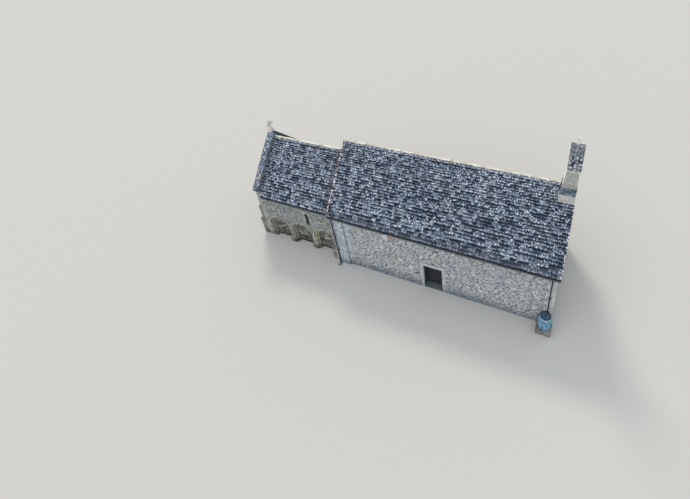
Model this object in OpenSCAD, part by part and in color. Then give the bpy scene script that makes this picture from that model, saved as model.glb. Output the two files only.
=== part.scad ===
// Small stone chapel: a nave, a lower chancel with a blind arcade, and a bellcote.
// X runs along the ridge with the chancel at the low end, Y across it and Z up.
// The origin is on the ground under the middle of the nave. The doorway faces -Y.
// Sizes are in millimetres.

/* [Nave] */
// Length of the nave outside its walls
nave_length = 12300; // [11000:50:14000]
// Width of the nave outside its walls
nave_width = 5700; // [5200:50:6600]
// Height of the nave walls at their outer face
nave_wall_height = 3720; // [3400:20:4400]
// Thickness of the long walls and the gables
wall_thickness = 750; // [600:10:900]
// Level of the paved floor above the ground
floor_height = 120; // [80:10:180]
// Pitch of all the main roofs in degrees
roof_pitch = 46.4; // [40:0.2:52]

/* [Chancel] */
// Length of the chancel beyond the nave
chancel_length = 5570; // [5300:10:6200]
// Width of the chancel outside its walls
chancel_width = 4930; // [4500:10:5150]
// Height of the chancel walls at their outer face
chancel_wall_height = 3420; // [3200:20:3600]
// Width of the arch between the nave and the chancel
chancel_arch_width = 2100; // [1600:20:2500]
// Height of the springing of the chancel arch
chancel_arch_spring = 1850; // [1500:20:2100]

/* [Roofs] */
// Depth of the roof from the slates to the underside, square to the slope
roof_thickness = 140; // [100:5:200]
// How far the eaves pass the walls
eave_overhang = 110; // [60:5:180]
// How far the slates pass the nave gables
verge_overhang = 140; // [100:5:220]
// Width of each side of a ridge tile down the slope
ridge_tile_leg = 190; // [140:5:240]
// Thickness of a ridge tile
ridge_tile_thickness = 24; // [16:1:34]

/* [Doorway] */
// Middle of the doorway, from the chancel end of the nave
door_centre_from_chancel = 6060; // [5000:20:7000]
// Clear width of the doorway between its jambs
door_opening_width = 1060; // [900:10:1200]
// Clear height of the doorway above the ground
door_opening_height = 1780; // [1700:10:2000]
// Width of the dressed stone jambs
jamb_width = 190; // [150:5:240]
// Depth of the dressed stones into the wall
jamb_depth = 300; // [240:5:360]
// Height of the stone lintel
lintel_height = 200; // [160:5:260]
// Height of the threshold stone
threshold_height = 110; // [60:5:115]
// Thickness of the plank door
door_thickness = 55; // [40:1:70]
// How far the door laps behind each jamb and the lintel
door_lap = 50; // [30:1:60]
// Gap between the closed door and the stones around it
door_clearance = 8; // [6:1:12]

/* [Blind arcade] */
// Number of arches along the chancel wall
arch_count = 3; // [2:1:3]
// Spacing of the arches
arch_pitch = 1690; // [1640:5:1760]
// Middle of the arch nearest the nave, from the nave
arch_first_centre = 1090; // [1040:5:1120]
// Radius of the clear opening of an arch
arch_radius = 560; // [500:5:580]
// Height of the springing of the arches above the ground
arch_spring = 1040; // [900:10:1200]
// Width of one order of mouldings
order_width = 95; // [80:1:100]
// Depth of the recess behind the wall face
arcade_depth = 220; // [180:5:260]
// How far the hood mould stands out of the wall
hood_projection = 55; // [40:1:70]
// Height of the plinth blocks under the piers
pier_plinth_height = 260; // [200:5:320]

/* [Windows] */
// Width of the slit of a lancet window
lancet_width = 250; // [200:5:300]
// Height of a lancet window to the top of its arch
lancet_height = 900; // [700:10:1000]
// Level of the sill of the chancel side windows
lancet_sill = 1930; // [1900:10:2100]
// Distance of the chancel side windows from the nave
lancet_from_nave = 2090; // [1900:10:2200]
// Width of the splayed recess inside the wall
splay_width = 760; // [600:10:900]
// Depth of the dressed stone around the slit
lancet_stone_depth = 200; // [160:5:240]

/* [Bellcote] */
// Length of the bellcote base along the ridge
bell_base_length = 720; // [640:10:800]
// Half width of the bellcote base across the ridge
bell_base_half = 640; // [560:10:700]
// Height of the base above the slates at its sides
bell_base_rise = 470; // [400:10:600]
// How far the bellcote stands out of the gable
bell_projection = 100; // [60:5:130]
// Height of the sloping top of the base
bell_weathering_height = 230; // [180:5:300]
// Set-back of the foot of the shaft on its ridge side
bell_shaft_setback = 60; // [40:5:100]
// How far the ridge side of the shaft leans in over its height
bell_shaft_batter = 130; // [60:5:160]
// How far the outer side of the shaft leans in over its height
bell_shaft_outer_batter = 40; // [10:5:80]
// Half width of the shaft across the ridge
bell_shaft_half = 405; // [360:5:450]
// Height of the shaft
bell_shaft_height = 1110; // [900:10:1300]
// Overhang of the little roof past the shaft
bell_eave = 110; // [80:5:140]
// Height of the little roof
bell_roof_height = 1170; // [1000:10:1300]

/* [Rainwater goods] */
// Radius of the half-round gutters
gutter_radius = 48; // [40:1:60]
// Radius of the downpipes
downpipe_radius = 36; // [30:1:45]
// Radius of the water butt at its widest
butt_radius = 340; // [280:5:360]
// Radius of the water butt at its ends, as a share of the widest
butt_end_share = 0.72; // [0.65:0.01:0.95]
// Height of the water butt without its lid
butt_height = 900; // [800:10:1000]

/* [Hidden] */
$fn = 48;

slope = tan(roof_pitch);
roof_rise = roof_thickness / cos(roof_pitch);
// Thickness of the joint where one sloping face lies on another
bed = 0.2;
nave_x0 = -nave_length / 2;
nave_x1 = nave_length / 2;
nave_half = nave_width / 2;
chancel_x0 = nave_x0 - chancel_length;
chancel_half = chancel_width / 2;
nave_ridge_height = nave_wall_height + nave_half * slope + roof_rise;
chancel_ridge_height = chancel_wall_height + chancel_half * slope + roof_rise;

// A wall or roof section in Y and Z, carried along X
module along_x(x0, x1, points) {
    translate([x0, 0, 0])
        rotate([90, 0, 90])
            linear_extrude(x1 - x0)
                polygon(points);
}

// A section in X and Z, carried along Y
module along_y(y0, y1, points) {
    translate([0, y1, 0])
        rotate([90, 0, 0])
            linear_extrude(y1 - y0)
                polygon(points);
}

module block(low, high) {
    translate(low)
        cube(high - low);
}

module both_sides() {
    children();
    mirror([0, 1, 0])
        children();
}

function under_roof(wall_height, half, y) = wall_height + (half - abs(y)) * slope;

// Points of a long wall on the -Y side, with its top cut to the rafters
function long_wall_section(half, height) = [
    [-half, 0],
    [-half + wall_thickness, 0],
    [-half + wall_thickness, height + wall_thickness * slope],
    [-half, height]
];

// Points of a gable, with a peak under the ridge
function gable_section(half, height) = [
    [-half, 0],
    [half, 0],
    [half, height],
    [0, height + half * slope],
    [-half, height]
];

/* Floors */
module nave_floor() {
    color("#b8b09e")
        block([nave_x0 + wall_thickness, -nave_half + wall_thickness, 0],
              [nave_x1 - wall_thickness, nave_half - wall_thickness, floor_height]);
}

module chancel_floor() {
    color("#b3ab9a")
        block([chancel_x0 + wall_thickness, -chancel_half + wall_thickness, 0],
              [nave_x0, chancel_half - wall_thickness, floor_height]);
}

/* Doorway sizes */
door_x = nave_x0 + door_centre_from_chancel;
door_cut_half = door_opening_width / 2 + jamb_width;
door_cut_top = door_opening_height + lintel_height;

/* Nave walls */
module nave_north_wall_east() {
    color("#cfc3a5")
        along_x(nave_x0 + wall_thickness, door_x - door_cut_half,
                long_wall_section(nave_half, nave_wall_height));
}

module nave_north_wall_west() {
    color("#cfc3a5")
        along_x(door_x + door_cut_half, nave_x1 - wall_thickness,
                long_wall_section(nave_half, nave_wall_height));
}

relief_span = 1000;
relief_rise = 200;
relief_ring = 130;
relief_depth = 120;
relief_gap = 60;
relief_radius = (relief_span * relief_span / 4 + relief_rise * relief_rise) / (2 * relief_rise);
relief_angle = asin(relief_span / 2 / relief_radius);

// The segmental arch over the lintel, as seen from the front, with its ends cut square to the curve
module relief_shape() {
    reach = 2 * relief_radius;
    translate([door_x, door_cut_top + relief_gap + relief_rise - relief_radius])
        intersection() {
            difference() {
                circle(relief_radius + relief_ring);
                circle(relief_radius);
            }
            polygon([
                [0, 0],
                [-reach * sin(relief_angle), reach * cos(relief_angle)],
                [reach * sin(relief_angle), reach * cos(relief_angle)]
            ]);
        }
}

module relief_solid() {
    translate([0, -nave_half + relief_depth, 0])
        rotate([90, 0, 0])
            linear_extrude(relief_depth)
                relief_shape();
}

module nave_wall_over_door() {
    color("#cfc3a5")
        difference() {
            along_x(door_x - door_cut_half, door_x + door_cut_half, [
                [-nave_half, door_cut_top],
                [-nave_half + wall_thickness, door_cut_top],
                [-nave_half + wall_thickness, nave_wall_height + wall_thickness * slope],
                [-nave_half, nave_wall_height]
            ]);
            relief_solid();
        }
}

module relieving_arch() {
    color("#d8cfb8")
        relief_solid();
}

module nave_south_wall() {
    color("#cfc3a5")
        difference() {
            mirror([0, 1, 0])
                along_x(nave_x0 + wall_thickness, nave_x1 - wall_thickness,
                        long_wall_section(nave_half, nave_wall_height));
            for (x = nave_lancets)
                side_lancet_cut(x, nave_half, 1);
        }
}

/* Round-headed lancet windows */
nave_lancets = [-nave_length / 5, nave_length / 5];
chancel_lancet_x = nave_x0 - lancet_from_nave;
splay_height = lancet_height + 320;
break_through = 1;
lancet_frame = 170;
east_lancet_sill = lancet_sill + 250;
glass_thickness = 8;
glass_setback = 90;

// A round-headed outline standing on the origin
module arched(width, height) {
    translate([-width / 2, 0])
        square([width, height - width / 2]);
    translate([0, height - width / 2])
        circle(width / 2);
}

// A round-headed prism through a side wall; side is -1 for the front and 1 for the back
module side_arch(x, sill, width, height, half, depth_out, depth_in, side) {
    y_a = side * (half - depth_out);
    y_b = side * (half - depth_in);
    translate([x, max(y_a, y_b), sill])
        rotate([90, 0, 0])
            linear_extrude(abs(y_a - y_b))
                arched(width, height);
}

module side_lancet_cut(x, half, side) {
    side_arch(x, lancet_sill - (splay_height - lancet_height) / 2, splay_width, splay_height,
              half, lancet_stone_depth, wall_thickness + break_through, side);
    side_arch(x, lancet_sill - lancet_frame, lancet_width + 2 * lancet_frame,
              lancet_height + 2 * lancet_frame, half, -break_through, lancet_stone_depth, side);
}

module side_lancet_stone(x, half, side) {
    difference() {
        side_arch(x, lancet_sill - lancet_frame, lancet_width + 2 * lancet_frame,
                  lancet_height + 2 * lancet_frame, half, 0, lancet_stone_depth, side);
        side_arch(x, lancet_sill, lancet_width, lancet_height, half, -break_through,
                  lancet_stone_depth + break_through, side);
    }
}

module side_lancet_pane(x, half, side) {
    side_arch(x, lancet_sill, lancet_width, lancet_height, half, glass_setback,
              glass_setback + glass_thickness, side);
}

// Turns a window made for a side wall at x = 0 into one for the chancel's east gable
module on_east_gable() {
    translate([chancel_x0, 0, east_lancet_sill - lancet_sill])
        rotate([0, 0, -90])
            children();
}

module lancet_surrounds() {
    color("#d9d1bb") {
        side_lancet_stone(chancel_lancet_x, chancel_half, -1);
        side_lancet_stone(chancel_lancet_x, chancel_half, 1);
        for (x = nave_lancets)
            side_lancet_stone(x, nave_half, 1);
        on_east_gable()
            side_lancet_stone(0, 0, -1);
    }
}

module lancet_glass() {
    color("#26302f") {
        side_lancet_pane(chancel_lancet_x, chancel_half, -1);
        side_lancet_pane(chancel_lancet_x, chancel_half, 1);
        for (x = nave_lancets)
            side_lancet_pane(x, nave_half, 1);
        on_east_gable()
            side_lancet_pane(0, 0, -1);
    }
}

/* Gables */
module chancel_arch_cut() {
    translate([nave_x0 - break_through, 0, 0])
        rotate([90, 0, 90])
            linear_extrude(wall_thickness + 2 * break_through) {
                translate([-chancel_arch_width / 2, floor_height])
                    square([chancel_arch_width, chancel_arch_spring - floor_height]);
                translate([0, chancel_arch_spring])
                    circle(chancel_arch_width / 2);
            }
}

module nave_east_gable() {
    color("#cabea2")
        difference() {
            along_x(nave_x0, nave_x0 + wall_thickness, gable_section(nave_half, nave_wall_height));
            chancel_arch_cut();
        }
}

module nave_west_gable() {
    color("#cabea2")
        along_x(nave_x1 - wall_thickness, nave_x1, gable_section(nave_half, nave_wall_height));
}

/* Chancel walls and the recesses of the arcade */
recess_radius = arch_radius + 2 * order_width;

module arcade_recess(centre) {
    translate([centre, -chancel_half + arcade_depth, 0])
        rotate([90, 0, 0])
            linear_extrude(arcade_depth + break_through) {
                translate([-recess_radius, -break_through])
                    square([2 * recess_radius, arch_spring + break_through]);
                translate([0, arch_spring])
                    circle(recess_radius);
            }
}

function arch_x(i) = nave_x0 - arch_first_centre - i * arch_pitch;

module chancel_side_wall() {
    difference() {
        along_x(chancel_x0 + wall_thickness, nave_x0,
                long_wall_section(chancel_half, chancel_wall_height));
        for (i = [0 : arch_count - 1])
            arcade_recess(arch_x(i));
        side_lancet_cut(chancel_lancet_x, chancel_half, -1);
    }
}

module chancel_north_wall() {
    color("#bdb6a0")
        chancel_side_wall();
}

module chancel_south_wall() {
    color("#bdb6a0")
        mirror([0, 1, 0])
            chancel_side_wall();
}

coping_width = 400;
coping_thickness = 110;
coping_rise = 260;
coping_projection = 40;
upstand = coping_width - 2 * coping_projection;
upstand_foot = chancel_wall_height + roof_rise + coping_rise;
upstand_peak = chancel_ridge_height + coping_rise;

module chancel_east_gable() {
    color("#bdb6a0")
        difference() {
            union() {
                along_x(chancel_x0, chancel_x0 + wall_thickness,
                        gable_section(chancel_half, chancel_wall_height));
                along_x(chancel_x0, chancel_x0 + upstand, [
                    [-chancel_half, chancel_wall_height - break_through],
                    [chancel_half, chancel_wall_height - break_through],
                    [chancel_half, upstand_foot],
                    [0, upstand_peak],
                    [-chancel_half, upstand_foot]
                ]);
            }
            for (i = [0 : arch_count - 1])
                both_sides()
                    arcade_recess(arch_x(i));
            on_east_gable()
                side_lancet_cut(0, 0, -1);
        }
}

/* Roofs */
// Points of one slope on the -Y side, from the eave to the ridge
function slope_section(half, height) = [
    [-half - eave_overhang, height - eave_overhang * slope + bed],
    [0, height + half * slope + bed],
    [0, height + half * slope + roof_rise],
    [-half - eave_overhang, height - eave_overhang * slope + roof_rise]
];

bell_x1 = nave_x1 + bell_projection;
bell_x0 = bell_x1 - bell_base_length;

module nave_slope() {
    difference() {
        along_x(nave_x0 - verge_overhang, nave_x1 + verge_overhang,
                slope_section(nave_half, nave_wall_height));
        block([bell_x0, -bell_base_half, nave_wall_height],
              [nave_x1 + 2 * verge_overhang, bell_base_half, 2 * nave_ridge_height]);
    }
}

module nave_roof_north() {
    color("#4d5560")
        nave_slope();
}

module nave_roof_south() {
    color("#4d5560")
        mirror([0, 1, 0])
            nave_slope();
}

module chancel_roof_north() {
    color("#4d5560")
        along_x(chancel_x0 + upstand, nave_x0,
                slope_section(chancel_half, chancel_wall_height));
}

module chancel_roof_south() {
    color("#4d5560")
        mirror([0, 1, 0])
            along_x(chancel_x0 + upstand, nave_x0,
                    slope_section(chancel_half, chancel_wall_height));
}

// Points of a ridge tile over both slopes
function ridge_section(ridge) =
    let (leg_y = ridge_tile_leg * cos(roof_pitch),
         leg_z = ridge_tile_leg * sin(roof_pitch),
         rise = ridge_tile_thickness / cos(roof_pitch)) [
        [-leg_y, ridge - leg_z + bed],
        [0, ridge + bed],
        [leg_y, ridge - leg_z + bed],
        [leg_y, ridge - leg_z + rise],
        [0, ridge + rise],
        [-leg_y, ridge - leg_z + rise]
    ];

module nave_ridge_tiles() {
    color("#d8cdb2")
        along_x(nave_x0 - verge_overhang, bell_x0, ridge_section(nave_ridge_height));
}

module chancel_ridge_tiles() {
    color("#d8cdb2")
        along_x(chancel_x0 + upstand + coping_projection, nave_x0 - verge_overhang,
                ridge_section(chancel_ridge_height));
}

/* Coping and cross on the chancel gable */
coping_eave = upstand_foot - eave_overhang * slope;
coping_rise_on_slope = coping_thickness / cos(roof_pitch);

module gable_coping() {
    color("#7e8587")
        along_x(chancel_x0 - coping_projection, chancel_x0 - coping_projection + coping_width, [
            [-chancel_half - eave_overhang, coping_eave + bed],
            [0, upstand_peak + bed],
            [chancel_half + eave_overhang, coping_eave + bed],
            [chancel_half + eave_overhang, coping_eave + coping_rise_on_slope],
            [0, upstand_peak + coping_rise_on_slope],
            [-chancel_half - eave_overhang, coping_eave + coping_rise_on_slope]
        ]);
}

cross_thickness = 110;
cross_arm = 235;
cross_neck = 50;
cross_flare = 100;

module cross_outline() {
    for (turn = [0 : 90 : 270])
        rotate(turn)
            polygon([
                [-cross_neck, 0],
                [cross_neck, 0],
                [cross_neck, cross_neck],
                [cross_flare, cross_arm],
                [-cross_flare, cross_arm],
                [-cross_neck, cross_neck]
            ]);
}

cross_seat_height = 200;
cross_seat_half = 130;
cross_seat_top = 70;
coping_apex = upstand_peak + coping_rise_on_slope;
cross_seat_foot = coping_apex - cross_seat_half * slope;
coping_middle = chancel_x0 - coping_projection + coping_width / 2;

module gable_cross() {
    color("#a9a69b") {
        along_x(coping_middle - cross_thickness, coping_middle + cross_thickness, [
            [-cross_seat_half, cross_seat_foot + bed],
            [0, coping_apex + bed],
            [cross_seat_half, cross_seat_foot + bed],
            [cross_seat_half, cross_seat_foot + cross_seat_height],
            [cross_seat_top, coping_apex + cross_seat_height],
            [-cross_seat_top, coping_apex + cross_seat_height],
            [-cross_seat_half, cross_seat_foot + cross_seat_height]
        ]);
        translate([coping_middle - cross_thickness / 2, 0,
                   coping_apex + cross_seat_height + cross_arm])
            rotate([90, 0, 90])
                linear_extrude(cross_thickness)
                    cross_outline();
    }
}

/* Bellcote */
bell_seat_top = under_roof(nave_wall_height, nave_half, bell_base_half) + roof_rise + bell_base_rise;
bell_shaft_bottom = bell_seat_top + bell_weathering_height;
bell_shaft_x0 = bell_x0 + bell_shaft_setback;
bell_shaft_top = bell_shaft_bottom + bell_shaft_height;
bell_head_x0 = bell_shaft_x0 + bell_shaft_batter;
bell_head_x1 = bell_x1 - bell_shaft_outer_batter;

module bellcote_base() {
    color("#b5ae9c")
        along_x(bell_x0, bell_x1, [
            [-bell_base_half, under_roof(nave_wall_height, nave_half, bell_base_half) + bed],
            [0, under_roof(nave_wall_height, nave_half, 0) + bed],
            [bell_base_half, under_roof(nave_wall_height, nave_half, bell_base_half) + bed],
            [bell_base_half, bell_seat_top],
            [-bell_base_half, bell_seat_top]
        ]);
}

module bellcote_weathering() {
    color("#5f6468")
        intersection() {
            along_x(bell_x0, bell_x1, [
                [-bell_base_half, bell_seat_top],
                [bell_base_half, bell_seat_top],
                [bell_shaft_half, bell_shaft_bottom],
                [-bell_shaft_half, bell_shaft_bottom]
            ]);
            along_y(-bell_base_half, bell_base_half, [
                [bell_x0, bell_seat_top],
                [bell_x1, bell_seat_top],
                [bell_x1, bell_shaft_bottom],
                [bell_shaft_x0, bell_shaft_bottom]
            ]);
        }
}

module bellcote_shaft() {
    color("#bdb5a1")
        along_y(-bell_shaft_half, bell_shaft_half, [
            [bell_shaft_x0, bell_shaft_bottom],
            [bell_x1, bell_shaft_bottom],
            [bell_head_x1, bell_shaft_top],
            [bell_head_x0, bell_shaft_top]
        ]);
}

bell_roof_lap = 25;
bell_roof_outer_lap = 85;
bell_roof_edge = 60;
bell_roof_x0 = bell_head_x0 - bell_roof_lap;
bell_roof_x1 = bell_head_x1 + bell_roof_outer_lap;

module bellcote_roof() {
    color("#6a7176")
        along_x(bell_roof_x0, bell_roof_x1, [
            [-bell_shaft_half - bell_eave, bell_shaft_top],
            [bell_shaft_half + bell_eave, bell_shaft_top],
            [bell_shaft_half + bell_eave, bell_shaft_top + bell_roof_edge],
            [0, bell_shaft_top + bell_roof_height],
            [-bell_shaft_half - bell_eave, bell_shaft_top + bell_roof_edge]
        ]);
}

finial_thickness = 100;
finial_arm = 130;
finial_stem = 156;
finial_scale = finial_arm / cross_arm;

module bellcote_finial() {
    color("#b9b4a6")
        translate([(bell_roof_x0 + bell_roof_x1) / 2 - finial_thickness / 2, 0,
                   bell_shaft_top + bell_roof_height])
            rotate([90, 0, 90])
                linear_extrude(finial_thickness) {
                    translate([0, finial_stem])
                        scale(finial_scale)
                            cross_outline();
                    translate([-finial_arm / 2, 0])
                        square([finial_arm, finial_arm / 2]);
                }
}

/* Door, its hinges and the dressed stones around it */
door_half = door_opening_width / 2 + door_lap;
door_bottom = floor_height + door_clearance;
door_top = door_opening_height + door_lap;
door_face = -nave_half + jamb_depth + door_clearance;
door_back = door_face + door_thickness;
pin_radius = 9;
pin_gap = 0.5;
eye_radius = 20;
strap_thickness = 8;
strap_height = 60;
strap_length = 760;
hinge_x = door_x + door_half;
hinge_y = door_back + eye_radius;
hinge_from_end = 280;
hinge_levels = [door_bottom + hinge_from_end, door_top - hinge_from_end];
pintle_arm = 30;

module door() {
    color("#3a332d")
        block([door_x - door_half, door_face, door_bottom],
              [door_x + door_half - eye_radius, door_back, door_top]);
}

module door_straps() {
    color("#26282b")
        for (level = hinge_levels) {
            difference() {
                union() {
                    block([hinge_x - strap_length, door_back, level - strap_height / 2],
                          [hinge_x, door_back + strap_thickness, level + strap_height / 2]);
                    translate([hinge_x, hinge_y, level - strap_height / 2])
                        cylinder(r = eye_radius, h = strap_height);
                }
                translate([hinge_x, hinge_y, level - strap_height])
                    cylinder(r = pin_radius + pin_gap, h = 2 * strap_height);
            }
        }
}

module door_pintles() {
    color("#26282b")
        for (level = hinge_levels) {
            translate([hinge_x, hinge_y, level - strap_height / 2 - pintle_arm])
                cylinder(r = pin_radius, h = strap_height + pintle_arm + pin_radius);
            block([hinge_x - pin_radius, hinge_y - pin_radius, level - strap_height / 2 - pintle_arm],
                  [door_x + door_cut_half, hinge_y + pin_radius, level - strap_height / 2 - pin_gap]);
        }
}

module door_jambs() {
    color("#d8cfb8")
        for (side = [-1, 1])
            block([door_x + (side < 0 ? -door_cut_half : door_opening_width / 2), -nave_half, 0],
                  [door_x + (side < 0 ? -door_opening_width / 2 : door_cut_half),
                   -nave_half + jamb_depth, door_opening_height]);
}

module door_lintel() {
    color("#d8cfb8")
        block([door_x - door_cut_half, -nave_half, door_opening_height],
              [door_x + door_cut_half, -nave_half + jamb_depth, door_cut_top]);
}

module threshold() {
    color("#b9b3a3") {
        block([door_x - door_opening_width / 2, -nave_half, 0],
              [door_x + door_opening_width / 2, -nave_half + jamb_depth, threshold_height]);
        block([door_x - door_cut_half, -nave_half + jamb_depth, 0],
              [door_x + door_cut_half, -nave_half + wall_thickness, threshold_height]);
    }
}

/* Mouldings of the blind arcade */
roll_share = 0.42;
roll_radius = order_width * roll_share;
roll_quirk = 8;

// Section of one order: across the ring in X, out of the wall in Y, with a roll on its edge
module order_section(start, depth) {
    translate([start, 0]) {
        difference() {
            square([order_width, depth]);
            translate([0, depth - roll_radius])
                square(roll_radius);
            translate([roll_radius, depth - roll_radius])
                circle(roll_radius + roll_quirk);
        }
        square([order_width, depth - 2 * roll_radius]);
        translate([roll_radius, depth - roll_radius])
            circle(roll_radius);
    }
}

// The inner order stands one step behind the outer one
module arcade_section() {
    order_section(arch_radius, arcade_depth - order_width);
    order_section(arch_radius + order_width, arcade_depth);
}

module arcade_arches() {
    color("#c9bd9d")
        both_sides()
            for (i = [0 : arch_count - 1])
                translate([arch_x(i), -chancel_half + arcade_depth, arch_spring])
                    rotate([90, 0, 0])
                        rotate_extrude(angle = 180)
                            arcade_section();
}

module arcade_jambs() {
    color("#c9bd9d")
        both_sides()
            for (i = [0 : arch_count - 1], side = [0, 1])
                translate([arch_x(i), -chancel_half + arcade_depth, 0])
                    mirror([side, 0, 0])
                        linear_extrude(arch_spring)
                            mirror([0, 1])
                                arcade_section();
}

hood_width = 110;
hood_lap = 15;
hood_chamfer = 45;

// One hood mould; it stops at the middle of the pier, where it meets its neighbour in a point
module hood_ring() {
    rotate([90, 0, 0])
        rotate_extrude(angle = 180)
            translate([recess_radius - hood_lap, 0])
                polygon([
                    [0, 0],
                    [hood_width, 0],
                    [hood_width, hood_projection],
                    [hood_chamfer, hood_projection],
                    [0, hood_projection / 3]
                ]);
}

module arcade_hood_mould() {
    color("#c2b798")
        both_sides()
            for (i = [0 : arch_count - 1])
                translate([arch_x(i), -chancel_half, arch_spring])
                    intersection() {
                        hood_ring();
                        block([i == arch_count - 1 ? -arch_pitch : -arch_pitch / 2, -arch_pitch, 0],
                              [i == 0 ? arch_pitch : arch_pitch / 2, arch_pitch, arch_pitch]);
                    }
}

pier_plinth_half = 180;
pier_plinth_projection = 90;

module arcade_plinths() {
    color("#b7ae98")
        both_sides()
            for (i = [0 : arch_count - 2])
                block([arch_x(i) - arch_pitch / 2 - pier_plinth_half,
                       -chancel_half - pier_plinth_projection, 0],
                      [arch_x(i) - arch_pitch / 2 + pier_plinth_half, -chancel_half,
                       pier_plinth_height]);
}

/* Pilasters, stub and buttresses */
pilaster_width = 780;
pilaster_projection = 80;

module nave_pilasters() {
    color("#c8cbc8")
        both_sides()
            along_x(nave_x0, nave_x0 + pilaster_width, [
                [-nave_half - pilaster_projection, 0],
                [-nave_half, 0],
                [-nave_half, nave_wall_height],
                [-nave_half - pilaster_projection, nave_wall_height - pilaster_projection * slope]
            ]);
}

stub_length = 400;
stub_height = 1200;
stub_slope = 90;
stub_face = -nave_half + 30;

module corner_stub() {
    color("#b3aa94")
        along_x(nave_x0 - stub_length, nave_x0, [
            [stub_face, 0],
            [-chancel_half - hood_projection, 0],
            [-chancel_half - hood_projection, stub_height],
            [stub_face, stub_height - stub_slope]
        ]);
}

buttress_width = 620;
buttress_lower = 460;
buttress_upper = 240;
buttress_mid = 1250;
buttress_top = 2350;

module east_buttresses() {
    color("#b0a894")
        both_sides()
            along_y(-chancel_half, -chancel_half + buttress_width, [
                [chancel_x0, 0],
                [chancel_x0, buttress_top + buttress_upper],
                [chancel_x0 - buttress_upper, buttress_top],
                [chancel_x0 - buttress_upper, buttress_mid + buttress_upper],
                [chancel_x0 - buttress_lower, buttress_mid],
                [chancel_x0 - buttress_lower, 0]
            ]);
}

/* Gutters, downpipes and the water butt */
gutter_wall = 5;
gutter_over_eave = 40;
gutter_end = 30;
chancel_gutter_end = 100;
nave_gutter_z = nave_wall_height - eave_overhang * slope + gutter_over_eave;
chancel_gutter_z = chancel_wall_height - eave_overhang * slope + gutter_over_eave;

module gutter(x0, x1, half, level) {
    translate([x0, -half - eave_overhang - gutter_radius, level])
        rotate([90, 0, 90])
            linear_extrude(x1 - x0)
                difference() {
                    circle(gutter_radius);
                    circle(gutter_radius - gutter_wall);
                    translate([-gutter_radius, 0])
                        square([2 * gutter_radius, gutter_radius]);
                }
}

module gutters() {
    color("#1d1f22")
        both_sides() {
            gutter(nave_x0 - verge_overhang + gutter_end, nave_x1 + verge_overhang - gutter_end,
                   nave_half, nave_gutter_z);
            gutter(chancel_x0 + upstand + chancel_gutter_end,
                   nave_x0 - verge_overhang - chancel_gutter_end, chancel_half, chancel_gutter_z);
        }
}

pipe_stand_off = 45;
downpipe_y = -nave_half - pilaster_projection - pipe_stand_off - downpipe_radius;

module downpipe(x, y, foot) {
    translate([x, y, foot])
        cylinder(r = downpipe_radius, h = nave_gutter_z - gutter_radius - foot);
}

east_pipe_x = nave_x0 + 160;
west_pipe_x = nave_x1 - 210;
east_pipe_foot = 120;
pipe_over_lid = 0.3;

module downpipe_east() {
    color("#1d1f22")
        downpipe(east_pipe_x, downpipe_y, east_pipe_foot);
}

butt_x = west_pipe_x - 50;
butt_from_wall = 35;
butt_y = -nave_half - butt_radius - butt_from_wall;
stand_height = 300;
butt_base_z = stand_height;
lid_thickness = 24;

module downpipe_west() {
    color("#1d1f22")
        downpipe(west_pipe_x, downpipe_y,
                 butt_base_z + butt_height + lid_thickness + pipe_over_lid);
}

butt_wall = 8;
butt_end_radius = butt_radius * butt_end_share;
butt_steps = 12;
lid_overlap = 14;

// Half section of the butt, widest at mid height
function butt_profile(shrink) = [
    for (step = [0 : butt_steps])
        [butt_end_radius + (butt_radius - butt_end_radius) * sin(180 * step / butt_steps) - shrink,
         butt_height * step / butt_steps]
];

module water_butt() {
    color("#a9cdd6")
        translate([butt_x, butt_y, butt_base_z])
            rotate_extrude()
                polygon(concat(
                    [[0, 0]],
                    butt_profile(0),
                    [for (i = [butt_steps : -1 : 1]) butt_profile(butt_wall)[i]],
                    [[butt_profile(butt_wall)[0][0], butt_wall], [0, butt_wall]]
                ));
}

module butt_lid() {
    color("#3c4a55")
        translate([butt_x, butt_y, butt_base_z + butt_height])
            cylinder(r = butt_end_radius + lid_overlap, h = lid_thickness);
}

stand_half_x = 370;
stand_half_y = 300;
stand_slab = 90;
stand_block = 300;
stand_block_x = stand_half_x - stand_block / 2;

module butt_stand() {
    color("#b5ad9a") {
        block([butt_x - stand_half_x, butt_y - stand_half_y, stand_height - stand_slab],
              [butt_x + stand_half_x, butt_y + stand_half_y, stand_height]);
        for (side = [-1, 1])
            block([butt_x + side * stand_block_x - stand_block / 2, butt_y - stand_half_y, 0],
                  [butt_x + side * stand_block_x + stand_block / 2, butt_y + stand_half_y,
                   stand_height - stand_slab]);
    }
}

nave_floor();
chancel_floor();
nave_north_wall_east();
nave_north_wall_west();
nave_wall_over_door();
nave_south_wall();
nave_east_gable();
nave_west_gable();
chancel_north_wall();
chancel_south_wall();
chancel_east_gable();
nave_roof_north();
nave_roof_south();
chancel_roof_north();
chancel_roof_south();
nave_ridge_tiles();
chancel_ridge_tiles();
gable_coping();
gable_cross();
bellcote_base();
bellcote_weathering();
bellcote_shaft();
bellcote_roof();
bellcote_finial();
door();
door_straps();
door_pintles();
door_jambs();
door_lintel();
relieving_arch();
threshold();
arcade_arches();
arcade_jambs();
arcade_hood_mould();
arcade_plinths();
lancet_surrounds();
lancet_glass();
nave_pilasters();
corner_stub();
east_buttresses();
gutters();
downpipe_east();
downpipe_west();
water_butt();
butt_lid();
butt_stand();
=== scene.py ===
"""Dresses the small stone chapel with its slates, rubble, ashlar, arcade, door and rainwater goods.

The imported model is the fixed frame, and every piece here lies on it. Lengths are in metres:
X runs along the ridge towards the bellcote, the doorway is on the -Y side, Z is up.
"""

import random
from itertools import product
from math import asin, atan, copysign, cos, hypot, pi, radians, sin, sqrt

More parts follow.
